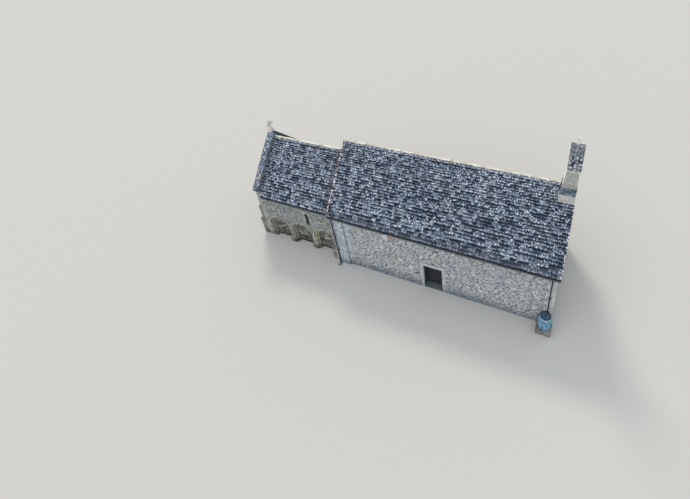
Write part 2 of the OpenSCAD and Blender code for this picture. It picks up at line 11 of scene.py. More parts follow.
import bmesh
import bpy
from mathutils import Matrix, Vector


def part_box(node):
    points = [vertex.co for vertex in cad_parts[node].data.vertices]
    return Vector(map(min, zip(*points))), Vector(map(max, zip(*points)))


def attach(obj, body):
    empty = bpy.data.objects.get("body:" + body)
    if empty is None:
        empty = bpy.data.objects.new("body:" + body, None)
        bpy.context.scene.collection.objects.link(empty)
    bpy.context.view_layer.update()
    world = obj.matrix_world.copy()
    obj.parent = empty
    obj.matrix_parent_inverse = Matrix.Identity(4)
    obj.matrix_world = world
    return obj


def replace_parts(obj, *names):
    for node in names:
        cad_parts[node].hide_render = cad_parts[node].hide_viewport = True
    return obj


bl_info = {
    "name": "Small chapel finish",
    "version": (1, 0, 0),
    "blender": (4, 5, 0),
    "location": "View3D > Sidebar > Chapel",
    "description": "Lays slates, rubble and dressed stone on the small chapel",
    "category": "Object",
}

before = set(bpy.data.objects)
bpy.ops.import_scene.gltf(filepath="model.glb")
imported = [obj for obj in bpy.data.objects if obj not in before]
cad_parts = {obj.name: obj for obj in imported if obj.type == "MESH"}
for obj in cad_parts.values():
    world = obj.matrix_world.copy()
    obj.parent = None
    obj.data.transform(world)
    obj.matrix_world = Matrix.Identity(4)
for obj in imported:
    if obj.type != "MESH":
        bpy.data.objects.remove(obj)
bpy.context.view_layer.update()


def low(node):
    """The low corner of a node's box."""
    return Vector(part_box(node)[0])


def high(node):
    """The high corner of a node's box."""
    return Vector(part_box(node)[1])


# The building's own lines, taken from its nodes
NAVE_X0 = low("nave_east_gable").x
NAVE_X1 = high("nave_west_gable").x
NAVE_HALF = high("nave_west_gable").y
NAVE_WALL = high("nave_pilasters").z
SLOPE = (high("nave_west_gable").z - NAVE_WALL) / NAVE_HALF
PITCH = atan(SLOPE)
ROOF_RISE = high("nave_roof_north").z - high("nave_west_gable").z
EAVE = -low("nave_roof_north").y - NAVE_HALF
VERGE = NAVE_X0 - low("nave_roof_north").x
CHANCEL_X0 = low("chancel_east_gable").x
CHANCEL_HALF = high("chancel_east_gable").y
CHANCEL_RIDGE = high("chancel_roof_north").z
CHANCEL_WALL = CHANCEL_RIDGE - ROOF_RISE - CHANCEL_HALF * SLOPE
NAVE_RIDGE = high("nave_roof_north").z
PILASTER_END = high("nave_pilasters").x
PILASTER_FACE = high("nave_pilasters").y
DOOR_X = (low("door_jambs").x + high("door_jambs").x) / 2
DOOR_HALF = (high("door_jambs").x - low("door_jambs").x) / 2
DOOR_HEAD = high("door_jambs").z
LINTEL_TOP = high("door_lintel").z
BELL_X0 = low("bellcote_base").x
BELL_X1 = high("bellcote_base").x
BELL_HALF = high("bellcote_base").y
BELL_HEAD_X0 = low("bellcote_roof").x + 0.025
BELL_HEAD_X1 = high("bellcote_roof").x - 0.085
BUTTRESS_TOP = high("east_buttresses").z

# Sizes of the mouldings, as the part is drawn
JAMB_WIDTH = 0.19
ARCH_PITCH = 1.69
ARCH_RADIUS = 0.56
ORDER = 0.095
ARCADE_DEPTH = 0.22
ROLL = ORDER * 0.42
RECESS = ARCH_RADIUS + 2 * ORDER
PIER_HALF = ARCH_PITCH / 2 - RECESS
HOOD_START = RECESS - 0.015
HOOD_END = HOOD_START + 0.11
HOOD_OUT = 0.055
SPRING = high("arcade_jambs").z
ARCH_X = [high("arcade_jambs").x - RECESS - i * ARCH_PITCH for i in range(3)]
LANCET_HALF = 0.125
LANCET_HEIGHT = 0.9
LANCET_FRAME = 0.17
LANCET_REACH = LANCET_HALF + LANCET_FRAME
LANCET_SILL = 1.93
EAST_SILL = LANCET_SILL + 0.25
CHANCEL_LANCET_X = NAVE_X0 - 2.09
NAVE_LANCETS = [-(NAVE_X1 - NAVE_X0) / 5, (NAVE_X1 - NAVE_X0) / 5]
RELIEF_SPAN = 1.0
RELIEF_RISE = 0.2
RELIEF_INNER = (RELIEF_SPAN ** 2 / 4 + RELIEF_RISE ** 2) / (2 * RELIEF_RISE)
RELIEF_OUTER = RELIEF_INNER + 0.13
RELIEF_ANGLE = asin(RELIEF_SPAN / 2 / RELIEF_INNER)
RELIEF_Z = LINTEL_TOP + 0.06 + RELIEF_RISE - RELIEF_INNER
GUTTER_RADIUS = (-low("gutters").y - NAVE_HALF - EAVE) / 2
# The trough leaves room for its own joints and brackets inside the drawn radius
TROUGH_RADIUS = GUTTER_RADIUS - 0.009
PIPE_RADIUS = 0.036

# Stages of the chancel buttresses: reach, reach of the stage above, foot and top of the slope
BUTTRESS_STAGES = ((0.46, 0.24, 1.25, 1.47), (0.24, 0.0, BUTTRESS_TOP - 0.24, BUTTRESS_TOP))
BUTTRESS_WIDTH = 0.62
# Heights of the courses of squared stone, and lengths and spacings of the other pieces
BELL_COURSE = 0.26
BUTTRESS_COURSE = 0.27
ARCADE_COURSE = 0.27
LANCET_COURSE = 0.26
JAMB_COURSE = 0.36
STUB_COURSE = 0.28
PIER_COURSE = 0.2
GUTTER_LENGTH = 1.8
SILT_LENGTH = 0.6
CLIP_SPACING = 0.95
FLOOR_RADIUS = 240.0
# Lengths of the corner stones of nave and chancel
NAVE_QUOIN = 0.42
CHANCEL_QUOIN = 0.34
# The smooth strip beside the front pilaster: how far each of its stones runs, its bed and head
STRIP = [(PILASTER_END + 0.45 - 0.05 * (i % 3), 1.2 + i * 0.3, 1.5 + i * 0.3) for i in range(9)]
# Stones of the blocked window under the eave, and small holes, on the front wall of the nave
WALL_MARKS = [(-2.87, -2.58, 3.0, 3.44), (-2.52, -2.27, 2.95, 3.44)]
WALL_HOLES = [(0.05, 0.31, 3.09, 3.17), (-0.12, 0.01, LINTEL_TOP + 0.04, LINTEL_TOP + 0.13),
              (0.06, 0.26, LINTEL_TOP + 0.006, LINTEL_TOP + 0.045),
              (-0.42, -0.24, LINTEL_TOP + 0.006, LINTEL_TOP + 0.045), (-1.07, -0.94, 0.95, 1.05)]
SIDES = ((-1, "front"), (1, "back"))


def linear(code):
    """An sRGB hex colour as linear red, green, blue and alpha."""
    parts = [int(code[i:i + 2], 16) / 255 for i in (1, 3, 5)]
    return tuple(c / 12.92 if c <= 0.04045 else ((c + 0.055) / 1.055) ** 2.4 for c in parts) + (1.0,)


def size_property(name, description, default, low_end, high_end):
    """A length in metres, with the least and the most that a user can set."""
    return bpy.props.FloatProperty(name=name, description=description, default=default,
                                   min=low_end, max=high_end, subtype="DISTANCE", unit="LENGTH")


def colour_property(name, description, code):
    """A colour, given as a hex code."""
    return bpy.props.FloatVectorProperty(name=name, description=description, size=4,
                                         default=linear(code), min=0, max=1, subtype="COLOR")


class ChapelSizes(bpy.types.PropertyGroup):
    """Sizes of the stones, slates and planks."""

    slate_width: size_property("Slate width", "Mean width of a stone slate", 0.2, 0.1, 0.5)
    eave_gauge: size_property("Gauge at the eave", "Part of a slate that shows at the eave",
                              0.19, 0.1, 0.3)
    ridge_gauge: size_property("Gauge at the ridge", "Part of a slate that shows at the ridge",
                               0.115, 0.06, 0.2)
    slate_thickness: size_property("Slate thickness", "Mean thickness of a slate", 0.02, 0.01, 0.04)
    course: size_property("Rubble course", "Mean height of a course of rubble", 0.1, 0.06, 0.2)
    stone_length: size_property("Rubble length", "Mean length of a rubble stone", 0.2, 0.1, 0.4)
    joint: size_property("Rubble joint", "Width of the joints between rubble stones",
                         0.014, 0.004, 0.03)
    ashlar_course: size_property("Ashlar course", "Height of a course of dressed stone",
                                 0.3, 0.15, 0.5)
    ridge_stone: size_property("Ridge stone", "Length of one ridge stone", 0.46, 0.2, 0.8)
    coping_stone: size_property("Coping stone", "Length of one coping stone", 0.74, 0.4, 1.2)
    plank: size_property("Door plank", "Width of a plank of the door", 0.19, 0.1, 0.3)
    bracket_spacing: size_property("Bracket spacing", "Spacing of the gutter brackets",
                                   0.9, 0.5, 1.5)


class ChapelColours(bpy.types.PropertyGroup):
    """Main colours of the stones and fittings."""

    slate: colour_property("Slate", "Stone slate between its lichens", "#2a3b50")
    slate_lichen: colour_property("Slate lichen", "Pale crust on the slates", "#aebdd0")
    wall_stone: colour_property("Wall stone", "Rubble of the nave", "#b1b6b9")
    wall_ochre: colour_property("Ochre stone", "Iron-stained rubble", "#b4afa5")
    chancel_stone: colour_property("Chancel stone", "Rubble of the chancel", "#9b9f9c")
    infill_stone: colour_property("Infill stone", "Rubble inside the arcade", "#78776b")
    mortar: colour_property("Mortar", "Lime mortar of the walls", "#a0a2a1")
    ashlar: colour_property("Ashlar", "Sawn stone of the pilasters", "#a3acb3")
    arcade: colour_property("Arcade stone", "Carved stone of the arches", "#8b897f")
    coping: colour_property("Coping", "Weathered coping stone", "#5d6a78")
    ridge: colour_property("Ridge stone", "Sawn stone of the ridge", "#e0dcc8")
    oak: colour_property("Oak", "Weathered door oak", "#272a30")
    paint: colour_property("Gutter paint", "Black paint on the rainwater goods", "#292a33")
    butt: colour_property("Water butt", "Pale blue moulded plastic", "#5a8fa6")
    lid: colour_property("Butt lid", "Dark blue-grey moulded plastic", "#1f3d59")
    ground: colour_property("Floor", "Plain floor of the stage", "#c6c4bf")


# Materials

def add(tree, kind, links=None, ramp=None, **settings):
    """Adds a node, sets it up and feeds its inputs with values, sockets or other nodes."""
    made = tree.nodes.new("ShaderNode" + kind)
    for name, value in settings.items():
        setattr(made, name, value)
    if ramp:
        points = made.color_ramp.elements
        while len(points) < len(ramp):
            points.new(0.5)
        for point, (position, colour) in zip(points, ramp):
            point.position, point.color = position, colour
    for name, value in (links or {}).items():
        if isinstance(value, bpy.types.Node):
            value = value.outputs[0]
        if isinstance(value, bpy.types.NodeSocket):
            tree.links.new(value, made.inputs[name])
        else:
            made.inputs[name].default_value = value
    return made


def new_material(name):
    """Makes an empty material under its name, and gives its node tree."""
    made = finishes[name] = bpy.data.materials.new(name)
    made.use_nodes = True
    made.node_tree.nodes.clear()
    return made.node_tree


def surface(tree, roughness, relief=None, strength=0.0, depth_mm=0.0, **inputs):
    """Ends a material with its relief and shader. Constant values stand on the shader's sockets."""
    links = {key.replace("_", " "): value for key, value in inputs.items()}
    if relief:
        links["Normal"] = add(tree, "Bump", {"Height": relief, "Strength": strength,
                                             "Distance": depth_mm / 1000})
    shader = add(tree, "BsdfPrincipled", {"Roughness": roughness, **links})
    add(tree, "OutputMaterial", {"Surface": shader})


def scaled(colour, factor):
    """A colour made lighter or darker."""
    return tuple(min(1.0, c * factor) for c in tuple(colour)[:3]) + (1.0,)


def blend_of(one, other, share):
    """A colour between two others."""
    return tuple(a + (b - a) * share for a, b in zip(tuple(one)[:3], tuple(other)[:3])) + (1.0,)


def colour_of(value, base):
    """A colour from a hex code or from a factor on the base colour."""
    if isinstance(value, str):
        return linear(value)
    return scaled(base, value) if isinstance(value, (int, float)) else value


def stone_material(name, tones, coats=(), base=None, ground=None, grain_mm=22, pit_mm=2.0,
                   contrast=0.2, roughness=0.9, own_pattern=True, crusts=(), zones=()):
    """Natural stone. Each stone has its own tone; grain, stains and lichens lie over it.

    tones are the colours from the darkest stone to the palest, as hex codes or as factors on the
    base colour. A coat is (colour, size in mm, start, end, strength): it shows where a noise of
    that size passes from start to end. A crust is a coat that breaks off at the edge of each stone
    and keeps to the paler ones. Neither covers the darkest tone, which is a hole, painted near
    black as its shade. ground is (tint, height): the splashed foot of a wall. A zone is (colour,
    strength inside, strength outside, limits), and each limit is (axis, middle, half width).
    """
    tree = new_material(name)
    place = add(tree, "TexCoord").outputs["Object"]
    stone = add(tree, "Attribute", attribute_type="GEOMETRY", attribute_name="stone")
    tone = add(tree, "SeparateXYZ", {0: stone.outputs["Vector"]})
    ramp = [(i / max(1, len(tones) - 1), colour_of(value, base)) for i, value in enumerate(tones)]
    if own_pattern:
        spot = tone.outputs[0]
        grain_place = add(tree, "VectorMath", {0: stone.outputs["Vector"], 1: (0, 9, 9), 2: place},
                          operation="MULTIPLY_ADD").outputs[0]
    else:
        broad = add(tree, "TexNoise", {"Vector": place, "Scale": 4, "Detail": 5, "Roughness": 0.7})
        spot = add(tree, "MapRange", {0: broad, 1: 0.3, 2: 0.7})
        grain_place = place
    colour = add(tree, "ValToRGB", {0: spot}, ramp=ramp).outputs[0]
    grain = add(tree, "TexNoise", {"Vector": grain_place, "Scale": 1000 / grain_mm, "Detail": 5,
                                   "Roughness": 0.68})
    shade = add(tree, "MapRange", {0: grain, 1: 0.3, 2: 0.7, 3: 1 - contrast, 4: 1 + contrast})
    # What lies over the stone's own colour, in order: how much of it shows, its colour, its blend
    covers = [(1.0, shade, "MULTIPLY")]
    layers = [(place, (0.02, 0.1), coat) for coat in coats]
    layers += [(grain_place, (0.28, 0.72), coat) for coat in crusts]
    for at, (bare, full), (coat, size_mm, start, end, strength) in layers:
        patch = add(tree, "TexNoise", {"Vector": at, "Scale": 1000 / size_mm, "Detail": 5,
                                       "Roughness": 0.6})
        cover = add(tree, "MapRange", {0: patch, 1: start, 2: end, 3: 0.0, 4: strength},
                    interpolation_type="SMOOTHSTEP")
        if own_pattern:
            keep = add(tree, "MapRange", {0: tone.outputs[0], 1: bare, 2: full},
                       interpolation_type="SMOOTHSTEP")
            cover = add(tree, "Math", {0: cover, 1: keep}, operation="MULTIPLY")
        covers.append((cover, colour_of(coat, base), "MIX"))
    axes = add(tree, "SeparateXYZ", {0: place})
    if ground:
        tint, height = ground
        wander = add(tree, "TexNoise", {"Vector": place, "Scale": 2.2, "Detail": 4})
        level = add(tree, "Math", {0: wander, 1: -height, 2: axes.outputs[2]},
                    operation="MULTIPLY_ADD")
        wet = add(tree, "MapRange", {0: level, 1: -0.5 * height, 2: 0.6 * height, 3: 1.0, 4: 0.0},
                  interpolation_type="SMOOTHSTEP")
        covers.append((wet, linear(tint), "MULTIPLY"))
    for coat, within, without, limits in zones:
        share = None
        for axis, middle, half in limits:
            near = add(tree, "Math", {0: axes.outputs[axis], 1: middle}, operation="SUBTRACT")
            near = add(tree, "Math", {0: near}, operation="ABSOLUTE")
            near = add(tree, "Math", {0: near, 1: half}, operation="LESS_THAN")
            share = add(tree, "Math", {0: share, 1: near}, operation="MULTIPLY") if share else near
        cover = add(tree, "MapRange", {0: share, 3: without, 4: within})
        covers.append((cover, linear(coat), "MIX"))
    for share, coat, kind in covers:
        colour = add(tree, "Mix", {0: share, 6: colour, 7: coat}, data_type="RGBA",
                     blend_type=kind).outputs[2]
    fine = add(tree, "TexVoronoi", {"Vector": grain_place, "Scale": 2600 / grain_mm})
    relief = add(tree, "Math", {0: fine, 1: 0.35, 2: grain}, operation="MULTIPLY_ADD")
    surface(tree, roughness, relief, 0.8, pit_mm, Base_Color=colour, Specular_IOR_Level=0.3)


def even_material(name, roughness, ramp, noise, relief, skin=None, stretch=None, drift=0,
                  painted_sheen=None, **inputs):
    """Anything but stone: a ramp of colours over one noise, and the relief of its fine skin.

    stretch draws the noise out, drift sets it apart on each lump, and without a skin the noise is
    the relief too. relief is (strength, depth in mm). painted_sheen is (colour, foot, top): a
    stretch painted paler, a painted highlight of the sky.
    """
    tree = new_material(name)
    place = at = add(tree, "TexCoord").outputs["Object"]
    if drift:
        stone = add(tree, "Attribute", attribute_type="GEOMETRY", attribute_name="stone")
        at = add(tree, "VectorMath", {0: stone.outputs["Vector"], 1: (drift,) * 3, 2: place},
                 operation="MULTIPLY_ADD").outputs[0]
    if stretch:
        at = add(tree, "VectorMath", {0: at, 1: stretch}, operation="MULTIPLY").outputs[0]
    pattern = add(tree, "TexNoise", {"Vector": at, **noise})
    colour = add(tree, "ValToRGB", {0: pattern}, ramp=ramp).outputs[0]
    # a stretch painted paler: a painted highlight
    if painted_sheen:
        sheen_colour, foot, top = painted_sheen
        level = add(tree, "SeparateXYZ", {0: place}).outputs[2]
        cover = add(tree, "MapRange", {0: level, 1: foot, 2: top}, interpolation_type="SMOOTHSTEP")
        colour = add(tree, "Mix", {0: cover, 6: colour, 7: sheen_colour}, data_type="RGBA").outputs[2]
    height = add(tree, "TexNoise", {"Vector": place, **skin}) if skin else pattern
    surface(tree, roughness, height, *relief, Base_Color=colour, **inputs)


def moulded_plastic(name, colour, roughness, streaks=0.28, painted_sheen=None):
    """Polyethylene, blow moulded and faded by the sun: soft gloss, chalky streaks down it.

    The streaks are about 70 mm wide and 400 mm long, and the skin is grained at about 4 mm.
    painted_sheen is the foot and top of a stretch painted paler: a painted highlight of the sky on the
    shoulder.
    """
    if painted_sheen:
        painted_sheen = (blend_of(colour, (0.7, 0.8, 0.9), 0.5), *painted_sheen)
    even_material(name, roughness,
                  [(0.3, scaled(colour, 1 - streaks)), (0.5, colour),
                   (0.7, blend_of(colour, (0.7, 0.75, 0.8), 1.2 * streaks))],
                  {"Scale": 1.0, "Detail": 5}, (0.3, 0.6), {"Scale": 260, "Detail": 2},
                  (14, 14, 2.5), painted_sheen=painted_sheen, IOR=1.5)


finishes = {}


def make_stone_finishes(colours):
    """The stones and mortars, each named for the real material."""
    moss, splashed, limewash = "#b4bda9", "#b9c3c9", "#cfcabd"
    # The doorway's recess is painted near black: painted shade
    recess_shade = ("#25282c", 0.88, 0.0, [(0, DOOR_X, DOOR_HALF), (1, 0.26 - NAVE_HALF, 0.18)])
    nave_middle, nave_reach = (NAVE_X0 + NAVE_X1) / 2, NAVE_X1 - NAVE_X0
    nave_eave = [(0, nave_middle, nave_reach), (1, -NAVE_HALF - EAVE, 0.16)]
    # Limestone riven into slates: matt, rough, dark with age, under a crust of pale lichens
    stone_material(
        "stone_slate", (0.28, 0.5, 0.85, 1.25, 1.8),
        (("#4b463f", 800, 0.54, 0.68, 0.4), ("#1b2b41", 200, 0.52, 0.6, 0.5)), colours.slate,
        crusts=((colours.slate_lichen, 62, 0.525, 0.555, 0.85), ("#f6f9fd", 56, 0.555, 0.578, 0.97)),
        grain_mm=30, pit_mm=3, contrast=0.25, roughness=0.88,
        # beside the nave's gable the chancel slates are darker and browner: moss, and partly painted
        # shade
        zones=[("#453b40", 0.45, 0.0, [(0, NAVE_X0 - VERGE - 0.3, 0.3)]),
               ("#3c454d", 0.5, 0.0, nave_eave)])
    # Sawn limestone ridge: near white, partly painted sunlight on the crest; the legs take the slates'
    # finish, partly lichens and partly painted shade
    stone_material(
        "ridge_stone", (0.8, 1, 1.2),
        (("#a58a62", 700, 0.5, 0.6, 0.6), ("#6f6a5c", 110, 0.6, 0.68, 0.6)), colours.ridge,
        grain_mm=16, contrast=0.12)
    # Lime mortar under the verge slates: broken lumps, from soot dark to near white
    stone_material("verge_mortar", ("#2f2c30", "#8b8084", "#ebe2e3", "#fffafa"), grain_mm=18,
                   pit_mm=3)
    # Field limestone, picked and laid dry-faced: warm grey, some ochre from iron, some dark
    stone_material(
        "rubble", ("#1b1d20", 0.66, 0.9, 1, 1.15, colours.wall_ochre, 1.45),
        (("#b1ada6", 1500, 0.52, 0.66, 0.3), ("#93a0ad", 1100, 0.5, 0.64, 0.35),
         ("#e2e5e6", 80, 0.57, 0.61, 0.75), ("#25272b", 80, 0.585, 0.612, 0.9)),
        colours.wall_stone, (splashed, 0.8), grain_mm=26, contrast=0.22)
    grey = colours.chancel_stone
    # The chancel's field limestone: greyer, flecked pale and dark, green at its foot
    stone_material(
        "grey_rubble", ("#1e201f", 0.6, 0.86, 1, 1.22, "#a9a79b"),
        (("#8d8f7c", 600, 0.52, 0.66, 0.45), ("#8b97a0", 900, 0.5, 0.62, 0.35),
         ("#d2d6d4", 80, 0.57, 0.61, 0.75), ("#2a2c2b", 80, 0.58, 0.612, 0.85)),
        grey, (moss, 0.5), grain_mm=26, contrast=0.22)
    # Field stone left bare inside the arches: dark and brown, with a few pale faces
    stone_material(
        "infill_rubble", (0.2, 0.5, 1, 1.3, 2.3),
        (("#7d755c", 300, 0.55, 0.65, 0.4), ("#c3c6ca", 100, 0.56, 0.6, 0.85),
         ("#232326", 100, 0.56, 0.6, 0.85)),
        colours.infill_stone, ("#a39fb0", 0.75), grain_mm=24, contrast=0.28)
    # Sawn and rubbed ashlar: even pale blocks with fine joints
    stone_material(
        "ashlar", (0.86, 0.96, 1, 1.08),
        (("#6f767e", 150, 0.5, 0.6, 0.75), ("#9a9488", 320, 0.56, 0.68, 0.4),
         ("#d6dce0", 80, 0.54, 0.6, 0.8)),
        colours.ashlar, (splashed, 0.5), grain_mm=12, pit_mm=1, contrast=0.14)
    # Tooled limestone of the doorway: smooth and grey, its recess painted near black as painted shade
    stone_material(
        "dressed_stone", ("#71767a", "#858b90", "#9ba1a4", "#b9b9bb"),
        (("#63676a", 130, 0.54, 0.62, 0.6), ("#cdcecd", 80, 0.56, 0.62, 0.6)),
        ground=(splashed, 0.5), grain_mm=14, pit_mm=1.2, contrast=0.14, zones=[recess_shade])
    # Squared limestone that stays wet: brown stains on grey, fainter over its top
    stone_material(
        "buttress_stone", ("#5f5148", "#7b7069", "#8f8a84"),
        (("#5a4236", 420, 0.48, 0.62, 0.6), ("#a3a19b", 90, 0.6, 0.68, 0.5)),
        ground=(moss, 0.5), grain_mm=20, contrast=0.18,
        zones=[("#7f827f", 0.6, 0.0, [(2, BUTTRESS_TOP, BUTTRESS_TOP - 1.3)])])
    # Old weathered blocks of the corner stub: an even grey brown
    stone_material(
        "stub_stone", ("#6d6c68", "#7d7b76", "#8c8a83"),
        (("#6a5f55", 320, 0.5, 0.64, 0.5), ("#a2a39c", 90, 0.6, 0.68, 0.5)), grain_mm=20,
        contrast=0.15)
    # Carved limestone: rubbed smooth once, now softened and stained warm
    stone_material(
        "arcade_stone", (0.45, 0.75, 1, 1.4, "#b9b4a0"),
        (("#5f6152", 180, 0.54, 0.66, 0.55), ("#a9a596", 60, 0.58, 0.66, 0.6)), colours.arcade,
        ("#b5a9a6", 0.45), grain_mm=16)
    # Fine limestone of the lancets: greenish grey, painted near black in the chancel lancets' recess as
    # their shade
    stone_material(
        "lancet_stone", ("#858a84", "#969a94", "#a8a99f"), (("#7d836f", 140, 0.54, 0.66, 0.6),),
        grain_mm=14, contrast=0.16,
        zones=[("#2b2f2e", 0.88, 0.0, [(0, CHANCEL_LANCET_X, 0.4), (1, 0.0, CHANCEL_HALF - 0.002)])])
    # Coarse limestone of the coping: dark, under blue grey and white lichens
    stone_material(
        "coping_stone", (0.55, 0.8, 1, 1.3),
        (("#8c93ad", 130, 0.52, 0.6, 0.65), ("#2c343d", 170, 0.52, 0.6, 0.75),
         ("#e6ebf2", 80, 0.56, 0.6, 0.9)), colours.coping, grain_mm=20, contrast=0.28)
    # Limestone of the bellcote, washed by the rain: even and pale grey. Its near-white last tone is
    # painted sunlight on the shaft's side towards the ridge
    stone_material(
        "bell_stone", ("#8f918a", "#9b9d96", "#a9aaa5", "#bdbdb8", "#f5f0e4"),
        (("#8f9480", 260, 0.5, 0.64, 0.4), ("#6b6e74", 110, 0.55, 0.64, 0.5),
         ("#cccdcb", 90, 0.54, 0.62, 0.45)), grain_mm=16, contrast=0.13)
    # Small slates of the bellcote: mid grey with dark and white patches
    stone_material(
        "bell_slate", ("#3a4048", "#5c646b", "#7c8286", "#a3a8ab"),
        (("#1d242f", 130, 0.5, 0.55, 0.85), ("#d8dde8", 110, 0.56, 0.59, 0.85)),
        zones=[("#787d80", 0.5, 0.0, [(2, 9.0, 0.3)])])
    # The two dressed heads left in the wall from a blocked window: one pale, one ochre
    stone_material("window_stones", ("#b3a284", "#968d80", "#c4c7cc"), grain_mm=20, contrast=0.12)
    # Corner stones: harder and squarer than the rubble beside them, so smoother and more even
    stone_material("chancel_quoin", (0.65, 0.85, 1.1), (("#6f746a", 160, 0.54, 0.66, 0.6),), grey,
                   (moss, 0.5), grain_mm=18, contrast=0.18)
    stone_material("nave_quoin", ("#9ba2a2", "#b0b7b5", "#c6cbc7"),
                   (("#7f8788", 140, 0.55, 0.66, 0.5),), ground=(splashed, 0.5), grain_mm=16,
                   contrast=0.12)

    # Lime mortar, thrown in and brushed off: gritty, its holes painted dark as their shade, and
    # limewashed inside
    mortars = (("nave_mortar", colours.mortar, (splashed, 0.8),
                [(0, nave_middle, nave_reach / 2 - 0.02), (1, 0.0, NAVE_HALF - 0.35)]),
               ("chancel_mortar", scaled(grey, 0.9), (moss, 0.6),
                [(0, (CHANCEL_X0 + NAVE_X0) / 2, (NAVE_X0 - CHANCEL_X0) / 2 - 0.72),
                 (1, 0.0, CHANCEL_HALF - 0.35)]))
    for name, base, ground, room in mortars:
        stone_material(name, (0.66, 0.9, 1.1), ((0.2, 90, 0.53, 0.6, 0.9),), base, ground,
                       grain_mm=14, pit_mm=3.5, contrast=0.24, own_pattern=False,
                       zones=[(limewash, 1.0, 0.0, room)])

    # Plain grounds, which have no lumps of their own: name, tones, coats, grain, then the rest
    for name, tones, coats, grain_mm, rest in (
            # The roof boards and torching seen between and under the slates, and the coping's core: near
            # black and flat, painted shade
            ("painted_shade", ("#20252a", "#2b3035", "#34383c"), (), 40, {}),
            # Sloping shoulders of the bellcote: dark stone under lichens
            ("bell_weathering", ("#3c444d", "#59636f", "#7c8795"),
             (("#a9b4c4", 80, 0.54, 0.57, 0.85), ("#20272f", 90, 0.52, 0.55, 0.7)), 20, {}),
            # Both crosses: clean pale limestone
            ("cross_stone", ("#b9b9af", "#cfcec4", "#e2e0d6"),
             (("#f0eee6", 60, 0.52, 0.6, 0.7),), 14, {}),
            # Solid stone behind the dressed blocks: flat grey in their joints and reveals, painted near
            # black as shade in the doorway's recess
            ("dressed_core", ("#7c7e79", "#8d8f89", "#9b9c95"), (), 16, {"zones": [recess_shade]}),
            # The threshold, trodden smooth and always damp: dark blue grey
            ("threshold_stone", ("#475356", "#5a6668", "#767e7c"),
             (("#5a6250", 160, 0.5, 0.66, 0.6),), 18, {}),
            # The bed under the bellcote's slates: flat dark grey
            ("bell_slate_core", ("#474c50", "#5b6064"), (), 16, {}),
            # Mortar between squared stones, a little sunk: flat and in shade
            ("joint_mortar", ("#63635e", "#777771", "#8b8a82"), (), 10, {}),
            # Flagstones, polished by feet: less matt and less pitted than the walls
            ("floor_stone", ("#6f716c", "#83847d", "#95948b"), (("#5b6058", 260, 0.55, 0.7, 0.6),),
             18, {"pit_mm": 1.5, "roughness": 0.75}),
            # Forged iron left to the weather: dark, dull, brown where it rusts
            ("iron", ("#1c1b1b", "#272524", "#3a2f29"), (), 9, {"pit_mm": 0.6, "roughness": 0.62}),
            # An open hole in a wall: no light comes back out of it
            ("hole", ("#161616", "#222120"), (), 20, {}),
            # What the rain leaves in a gutter: slate grit and dead moss
            ("silt", ("#6f767a", "#8a9195", "#a3a9ac"), (), 12, {"pit_mm": 4}),
            # Lead between the panes: dull grey, hardly rough
            ("lead", ("#4d5154", "#63676a"), (), 12, {"pit_mm": 0.4, "roughness": 0.55})):
        stone_material(name, tones, coats, grain_mm=grain_mm, own_pattern=False, **rest)


def make_other_finishes(colours):
    """The oak, paint, glass and plastic."""
    # Oak planks, tarred and weathered: long grain up the plank, near black in the pores. The grain
    # lines are about 6 mm apart and half a metre long
    even_material("oak", 0.7, [(0.3, scaled(colours.oak, 0.45)), (0.5, colours.oak),
                               (0.72, scaled(colours.oak, 2.1))],
                  {"Scale": 1.0, "Detail": 6, "Roughness": 0.6}, (0.7, 1.5),
                  stretch=(160, 160, 2), drift=3, Specular_IOR_Level=0.35)
    # Cast iron under brushed black paint: half gloss, dulled by dust in patches of about 110 mm,
    # with brush marks about 8 mm apart
    even_material("black_iron", 0.45, [(0.35, scaled(colours.paint, 0.7)), (0.6, colours.paint),
                                       (0.75, linear("#4a4d50"))],
                  {"Scale": 9, "Detail": 5}, (0.5, 0.6), {"Scale": 120, "Detail": 3})
    # Hand-made greenish quarries, dark because the room behind is unlit. The tint wanders over
    # about 140 mm, and the panes bow over about 70 mm
    even_material("window_glass", 0.12, [(0.35, linear("#1e2827")), (0.55, linear("#30403e")),
                                         (0.7, linear("#465652"))],
                  {"Scale": 7, "Detail": 3}, (0.6, 4), {"Scale": 14, "Detail": 2}, IOR=1.5)
    top = high("water_butt").z
    # the butt's shoulder is painted paler: a painted highlight of the sky
    moulded_plastic("butt_plastic", colours.butt, 0.42, painted_sheen=(top - 0.14, top - 0.03))
    moulded_plastic("lid_plastic", blend_of(colours.lid, linear("#6f7f95"), 0.18), 0.5, 0.1)
    moulded_plastic("lid_rim", scaled(colours.lid, 0.7), 0.5, 0.1)
    # The stage: a plain matt floor
    surface(new_material("stage_floor"), 0.95, Specular_IOR_Level=0.1,
            Base_Color=tuple(colours.ground))


# Making meshes

class Face:
    """A flat place to build on: an origin, two directions in it and one out of it."""

    def __init__(self, origin, along, up, out):
        self.origin, self.along, self.up, self.out = map(Vector, (origin, along, up, out))

    def point(self, u, v, w):
        return self.origin + self.along * u + self.up * v + self.out * w


def long_face(half, side):
    """The face of a long wall: U runs along it and V up it."""
    return Face((0, side * half, 0), (1, 0, 0), (0, 0, 1), (0, side, 0))


def end_face(x, side):
    """The face of a gable wall."""
    return Face((x, 0, 0), (0, 1, 0), (0, 0, 1), (side, 0, 0))


def pitched_face(x, y, z, side, pitch=PITCH):
    """A slope that faces the given side: U runs along it and V up it."""
    return Face((x, y, z), (1, 0, 0), (0, -side * cos(pitch), sin(pitch)),
                (0, side * sin(pitch), cos(pitch)))


def roof_face(x, half, ridge, side):
    """One slope of a roof, from its eave."""
    run = half + EAVE
    return pitched_face(x, side * run, ridge - run * SLOPE, side)


